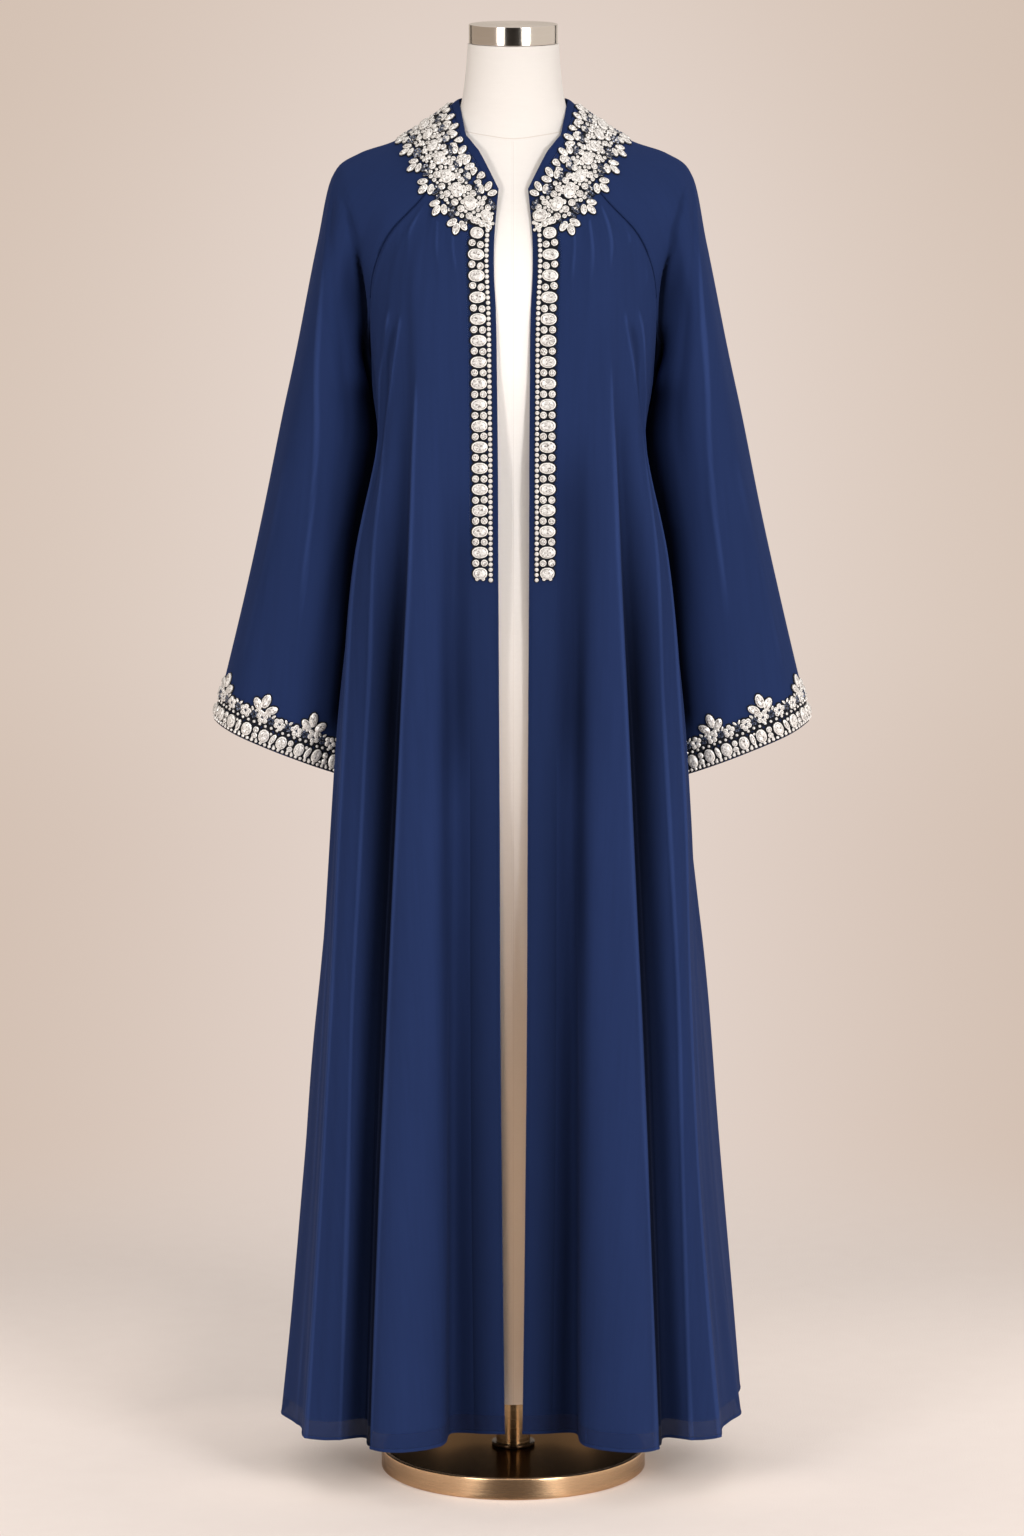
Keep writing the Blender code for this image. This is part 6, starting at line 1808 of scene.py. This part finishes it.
SIDES = 160
top = [(r, CAP_TOP) for r in (4.0, 14.0, 26.0, 36.0, 43.0, CAP_RADIUS - 1.0)]
profile = top + rounded(CAP_RADIUS, CAP_TOP, 0.6) + [(CAP_RADIUS, CAP_TOP - 6), (CAP_RADIUS, CAP_TOP - 14)] + rounded(CAP_RADIUS, CAP_TOP - CAP_HEIGHT, 0.7, down=False) + [(30.0, CAP_TOP - CAP_HEIGHT)]
cap = turned("cap_turned", profile, SIDES, [NICKEL, NICKEL_TOP], top_to=len(top) - 1)
foot = FORM_SECTIONS[-1][0]
profile = [(POLE_RADIUS - 0.5, foot - TOUCH)] + [(POLE_RADIUS, foot - TOUCH - 0.5)] + [(POLE_RADIUS, z) for z in (70, 60, 50, 40, 33)] + [(POLE_RADIUS, FLANGE_TOP + TOUCH)]
pole = turned("pole_turned", profile, SIDES, [BRASS])
profile = [(12.0, FLANGE_TOP), (POLE_RADIUS, FLANGE_TOP), (FLANGE_RADIUS - 1.6, FLANGE_TOP)] + rounded(FLANGE_RADIUS, FLANGE_TOP, 0.7) + [(FLANGE_RADIUS, 25.8)] + rounded(FLANGE_RADIUS, BASE_HEIGHT + TOUCH, 0.5, down=False)
# the flange takes the brass darkened as painted shade
flange = turned("flange_turned", profile, SIDES, [FLANGE_BRASS_PAINTED_SHADE])
top = [(r, BASE_HEIGHT - 0.35) for r in (20.0, 45.0, 75.0, 105.0, 128.0, 137.6)] + [(138.3, BASE_HEIGHT - 0.9), (139.3, BASE_HEIGHT - 0.9), (139.9, BASE_HEIGHT)]
profile = top + [(BASE_RADIUS - 1.7, BASE_HEIGHT)] + rounded(BASE_RADIUS, BASE_HEIGHT, 1.5) + [(BASE_RADIUS, q) for q in (19.0, 12.0, 5.0)] + rounded(BASE_RADIUS, 1.3, 0.9, down=False) + [(BASE_RADIUS - 2.6, 1.3), (BASE_RADIUS - 2.6, 0.0)]
base = turned("base_turned", profile, SIDES + 32, [BRONZE, BRONZE_TOP_PAINTED_REFLECTION], top_to=len(top) - 1)
for ob, node, slot in ((cap, "neck_cap", "polished_nickel"), (pole, "pole", "brushed_brass"), (flange, "pole_flange", "brushed_brass"), (base, "base_plate", "base_bronze")):
    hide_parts(node)
    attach(ob, "root")


# ---------------------------------------------------------------- the flat size each sheet of cloth was cut to, worked out here and not kept
def declare(ob):
    w, l, area = sizes[ob.name]
    flat = (round(w, 3), round(l, 3))
    round(min(area, flat[0] * flat[1]), 4)


for s in (-1, 1):
    w = WAY[s]
    declare(pieces["front", s])
    declare(pieces["band", s])
    declare(pieces["lining", s])
    declare(pieces["sleeve", s])
declare(pieces["back"])
declare(pieces["lining_back"])
declare(pieces["neck"])


# ---------------------------------------------------------------- floor, lights and camera
# name, azimuth, distance, height, aimed at, reach up and down, watts, colour, radius
FORM_LAMPS = (
    ("form_right", 17.0, 4.5, 1.45, 1.22, 0.56, 545.0, (1.0, 0.972, 0.955), 0.40),
    ("form_mid", 6.0, 4.5, 1.20, 0.99, 0.28, 185.0, (1.0, 0.972, 0.955), 0.30),
    ("form_left", -26.0, 4.5, 1.45, 1.30, 0.70, 260.0, (1.0, 0.965, 0.93), 0.40),
    ("form_low", -4.0, 4.5, 0.95, 0.32, 0.60, 318.0, (1.0, 0.62, 0.36), 0.45),
)
WALL = (0.692, 0.573, 0.491)
WALL_MID = (0.714, 0.596, 0.515)
WALL_LOW = (0.684, 0.562, 0.482)


def floor_material():
    s = Shader("floor_suede")
    p = s.place()
    s.set(Roughness=0.85, Specular_IOR_Level=0.0)
    mottled = s.noise(p, 26.0, 5.0, 0.62)
    fine = s.noise(p, 420.0, 3.0, 0.6)
    broad = s.noise(p, 1.4, 2.0, 0.5)
    near = s.mix(s.math("ADD", s.math("MULTIPLY", mottled, 0.6), s.math("MULTIPLY", broad, 0.4)), FLOOR_NEAR_A, FLOOR_NEAR_B)
    xyz = s.add("ShaderNodeSeparateXYZ", {"Vector": p}).outputs
    r = s.add("ShaderNodeVectorMath", {0: p}, operation="LENGTH").outputs["Value"]
    camera = s.add("ShaderNodeLightPath").outputs["Is Camera Ray"]
    # seen straight on, the floor runs into the wall without a line; in reflections the room in front is dark
    ahead = s.math("ADD", r, s.span(xyz["Y"], -0.40, -1.20, 0.0, 1.5))
    far = s.math("MULTIPLY", s.span(ahead, FLOOR_FADE[0], FLOOR_FADE[1]), camera)
    front = s.math("MULTIPLY", s.span(xyz["Y"], -1.6, -3.2), s.math("SUBTRACT", 1.0, camera))
    near = s.mix(s.math("MULTIPLY", front, 0.88), near, (0.05, 0.042, 0.035))
    # painted reflection: to glossy rays a wedge of floor just in front of the base is dark, so the base's side reflects
    # a dark band
    glossy = s.add("ShaderNodeLightPath").outputs["Is Glossy Ray"]
    turn = s.math("ABSOLUTE", s.math("ARCTAN2", xyz["X"], s.math("MULTIPLY", xyz["Y"], -1.0)))
    wedge = s.math("MULTIPLY", s.math("MULTIPLY", s.span(turn, 0.42, 0.26), s.span(r, 0.140, 0.150)), glossy)
    near = s.mix(s.math("MULTIPLY", wedge, 0.85), near, (0.05, 0.042, 0.035))
    s.set(Base_Color=s.mix(far, near, (0.0, 0.0, 0.0)), Normal=s.bump(s.math("ADD", s.math("MULTIPLY", mottled, 0.7), fine), 0.25, 0.0015))
    # painted light: the floor that the camera sees glows a little, more toward the front and most just in front of the
    # base, where it lifts the shadows; in a band behind and left of the base it glows less, a painted shadow
    painted_floor_light = s.span(xyz["Y"], 1.0, 0.35, 0.0, FLOOR_PAINTED_LIGHT - 0.03)
    soft = s.span(s.math("ABSOLUTE", s.math("ADD", xyz["X"], 0.26)), 0.06, 0.22, 0.35, 1.0)
    painted_floor_light = s.math("MULTIPLY", painted_floor_light, s.math("MAXIMUM", soft, s.span(xyz["Y"], 0.40, 0.16)))
    painted_floor_light = s.math("SUBTRACT", painted_floor_light, s.span(xyz["Y"], 0.2, -0.25, 0.0, 0.025))
    close = s.math("MULTIPLY", s.span(r, 0.48, 0.20, 0.0, 0.15), s.span(xyz["Y"], 0.03, -0.10))
    close = s.math("MULTIPLY", close, s.span(xyz["Y"], -0.24, -0.11, 0.30, 1.0))
    painted_floor_light = s.math("MULTIPLY", s.math("ADD", painted_floor_light, close), camera)
    lit = s.add("ShaderNodeCombineColor", {"Red": painted_floor_light, "Green": s.math("MULTIPLY", painted_floor_light, 0.82), "Blue": s.math("MULTIPLY", painted_floor_light, 0.70)}).outputs[0]
    wall = s.mix(s.span(r, 3.4, 6.0), WALL_LOW, WALL_MID)
    wall = s.mix(s.span(r, 6.5, 20.0), wall, WALL)
    # the backdrop is a little brighter behind the object and falls off to both sides
    aside = s.math("DIVIDE", xyz["X"], s.math("ADD", s.math("MULTIPLY", xyz["Y"], 0.984), 7.94))
    aside = s.math("DIVIDE", aside, 0.0525)
    halo = s.math("EXPONENT", s.math("MULTIPLY", s.math("MULTIPLY", aside, aside), -1.0))
    halo = s.math("MULTIPLY", halo, s.span(r, 34.0, 8.0, 0.45, 1.0))
    tint = s.mix(halo, (0.930, 0.908, 0.886), (1.144, 1.190, 1.262))
    beyond = s.math("MAXIMUM", s.span(s.math("ABSOLUTE", aside), 1.6, 3.4), s.span(r, 26.0, 50.0))
    beyond = s.math("MAXIMUM", beyond, s.span(xyz["Y"], -0.6, -1.8))
    wall = s.mix(1.0, wall, s.mix(beyond, tint, (1.0, 1.0, 1.0)), "MULTIPLY")
    s.set(Emission_Color=s.mix(far, lit, wall), Emission_Strength=1.0)
    # reflections that pass the studio's edge see the room
    s.set(Alpha=s.math("MAXIMUM", camera, s.span(r, 5.0, 4.0)))
    return s.m


a = np.linspace(0, 2 * np.pi, 96, endpoint=False)
radii = [0.5, 1.5, 4.0, 12.0, 60.0]
fv = np.concatenate([[[0, 0, 0]]] + [np.stack([r * np.cos(a), r * np.sin(a), a * 0], 1) for r in radii]) * 1000.0
ff3 = np.stack([np.zeros(96, int), 1 + np.arange(96), 1 + (np.arange(96) + 1) % 96], 1)
ff4 = np.concatenate([np.stack([1 + k * 96 + np.arange(96), 1 + (k + 1) * 96 + np.arange(96), 1 + (k + 1) * 96 + (np.arange(96) + 1) % 96, 1 + k * 96 + (np.arange(96) + 1) % 96], 1) for k in range(len(radii) - 1)])
floor = make_object("studio_floor", fv, [ff3, ff4], [floor_material()])

world = bpy.data.worlds.new("studio")
bpy.context.scene.world = world
world.use_nodes = True
t = world.node_tree
t.nodes.clear()
wout = t.nodes.new("ShaderNodeOutputWorld")
bg_seen = t.nodes.new("ShaderNodeBackground")
bg_seen.inputs["Color"].default_value = (*WALL, 1.0)
bg_light = t.nodes.new("ShaderNodeBackground")
bg_light.inputs["Strength"].default_value = AMBIENT
mixer = t.nodes.new("ShaderNodeMixShader")
path = t.nodes.new("ShaderNodeLightPath")
coord = t.nodes.new("ShaderNodeTexCoord")
split = t.nodes.new("ShaderNodeSeparateXYZ")
t.links.new(coord.outputs["Generated"], split.inputs[0])


def wmath(op, x, y=None):
    n = t.nodes.new("ShaderNodeMath")
    n.operation = op
    for i, q in enumerate((x, y)):
        if isinstance(q, bpy.types.NodeSocket):
            t.links.new(q, n.inputs[i])
        elif q is not None:
            n.inputs[i].default_value = q
    return n.outputs[0]


def wrange(value, lo, hi, out_lo=0.0, out_hi=1.0):
    n = t.nodes.new("ShaderNodeMapRange")
    n.interpolation_type = "SMOOTHSTEP"
    t.links.new(value, n.inputs["Value"])
    for key, q in (("From Min", lo), ("From Max", hi), ("To Min", out_lo), ("To Max", out_hi)):
        n.inputs[key].default_value = q
    return n.outputs["Result"]


def wmix(f, x, y):
    n = t.nodes.new("ShaderNodeMix")
    n.data_type = "RGBA"
    t.links.new(f, n.inputs[0])
    for i, q in ((6, x), (7, y)):
        if isinstance(q, bpy.types.NodeSocket):
            t.links.new(q, n.inputs[i])
        else:
            n.inputs[i].default_value = (*q, 1.0)
    return n.outputs[2]


azimuth = wmath("ARCTAN2", split.outputs["X"], wmath("MULTIPLY", split.outputs["Y"], -1.0))       # 0 toward the camera, + to the right
side = wmix(wrange(split.outputs["X"], -0.9, 0.9), ROOM_LEFT, ROOM_RIGHT)
upper = wmix(wrange(split.outputs["Z"], 0.2, 1.0), side, ROOM_TOP)
dark = wmath("MULTIPLY", wrange(wmath("ABSOLUTE", azimuth), 0.50, 0.36), wrange(split.outputs["Z"], 0.75, 0.45))
flags = wmath("MULTIPLY", wrange(wmath("ABSOLUTE", azimuth), 2.38, 2.45), wrange(wmath("ABSOLUTE", azimuth), 2.62, 2.55))
flags = wmath("MULTIPLY", flags, wrange(wmath("ABSOLUTE", split.outputs["Z"]), 0.5, 0.3))
room = wmix(wmath("MAXIMUM", dark, flags), upper, ROOM_DARK)
t.links.new(room, bg_light.inputs["Color"])
t.links.new(path.outputs["Is Camera Ray"], mixer.inputs[0])
t.links.new(bg_light.outputs[0], mixer.inputs[1])
t.links.new(bg_seen.outputs[0], mixer.inputs[2])
t.links.new(mixer.outputs[0], wout.inputs["Surface"])


def softbox(name, azimuth_deg, distance, wide, tall, centre_z, watts, colour, aim_z=0.85):
    lamp = bpy.data.lights.new(name, "AREA")
    lamp.shape = "RECTANGLE"
    lamp.size, lamp.size_y = wide, tall
    lamp.energy = watts
    lamp.color = colour
    ob = bpy.data.objects.new(name, lamp)
    bpy.context.scene.collection.objects.link(ob)
    q = math.radians(azimuth_deg)
    ob.location = (distance * math.sin(q), -distance * math.cos(q), centre_z)
    ob.rotation_euler = (Vector((0, 0, aim_z)) - Vector(ob.location)).to_track_quat("-Z", "Y").to_euler()
    ob.visible_camera = False
    return ob


def reach(lamp, obs, only):
    """Ties a lamp to some objects: it lights nothing else (only), or everything but them."""
    group = bpy.data.collections.new(lamp.name + "_reach")
    for ob in obs:
        group.objects.link(ob)
    lamp.light_linking.receiver_collection = group
    for item in group.collection_objects:
        item.light_linking.link_state = "INCLUDE" if only else "EXCLUDE"


def spot(name, azimuth_deg, distance, z, aim, half_height, watts, colour, radius=0.30):
    """A soft-edged lamp whose pool fades out half_height above and below the point it is aimed at."""
    lamp = bpy.data.lights.new(name, "SPOT")
    lamp.energy = watts
    lamp.color = colour
    lamp.shadow_soft_size = radius
    lamp.spot_blend = 1.0
    lamp.spot_size = 2 * math.atan2(half_height, distance)
    ob = bpy.data.objects.new(name, lamp)
    bpy.context.scene.collection.objects.link(ob)
    q = math.radians(azimuth_deg)
    ob.location = (distance * math.sin(q), -distance * math.cos(q), z)
    ob.rotation_euler = (Vector((0, 0, aim)) - Vector(ob.location)).to_track_quat("-Z", "Y").to_euler()
    ob.visible_camera = False
    return ob


form_ob = pieces["form"]
for args in LAMPS:
    reach(softbox(*args), [form_ob], False)
for args in FORM_LAMPS:
    reach(spot(*args), [form_ob], True)

camera = bpy.data.cameras.new("camera")
camera.lens = 169.6255
camera.sensor_width = 36.0
camera.sensor_fit = "AUTO"
camera.clip_end = 200.0
cam = bpy.data.objects.new("camera", camera)
cam.location = (-0.00139, -7.68, 2.153)
cam.rotation_euler = (math.radians(90 - 10.1632), 0.0, 0.0)
bpy.context.scene.collection.objects.link(cam)
scene = bpy.context.scene
scene.camera = cam
scene.view_settings.view_transform = "Standard"
scene.view_settings.look = "None"
scene.view_settings.exposure = 0.0
scene.view_settings.gamma = 1.0
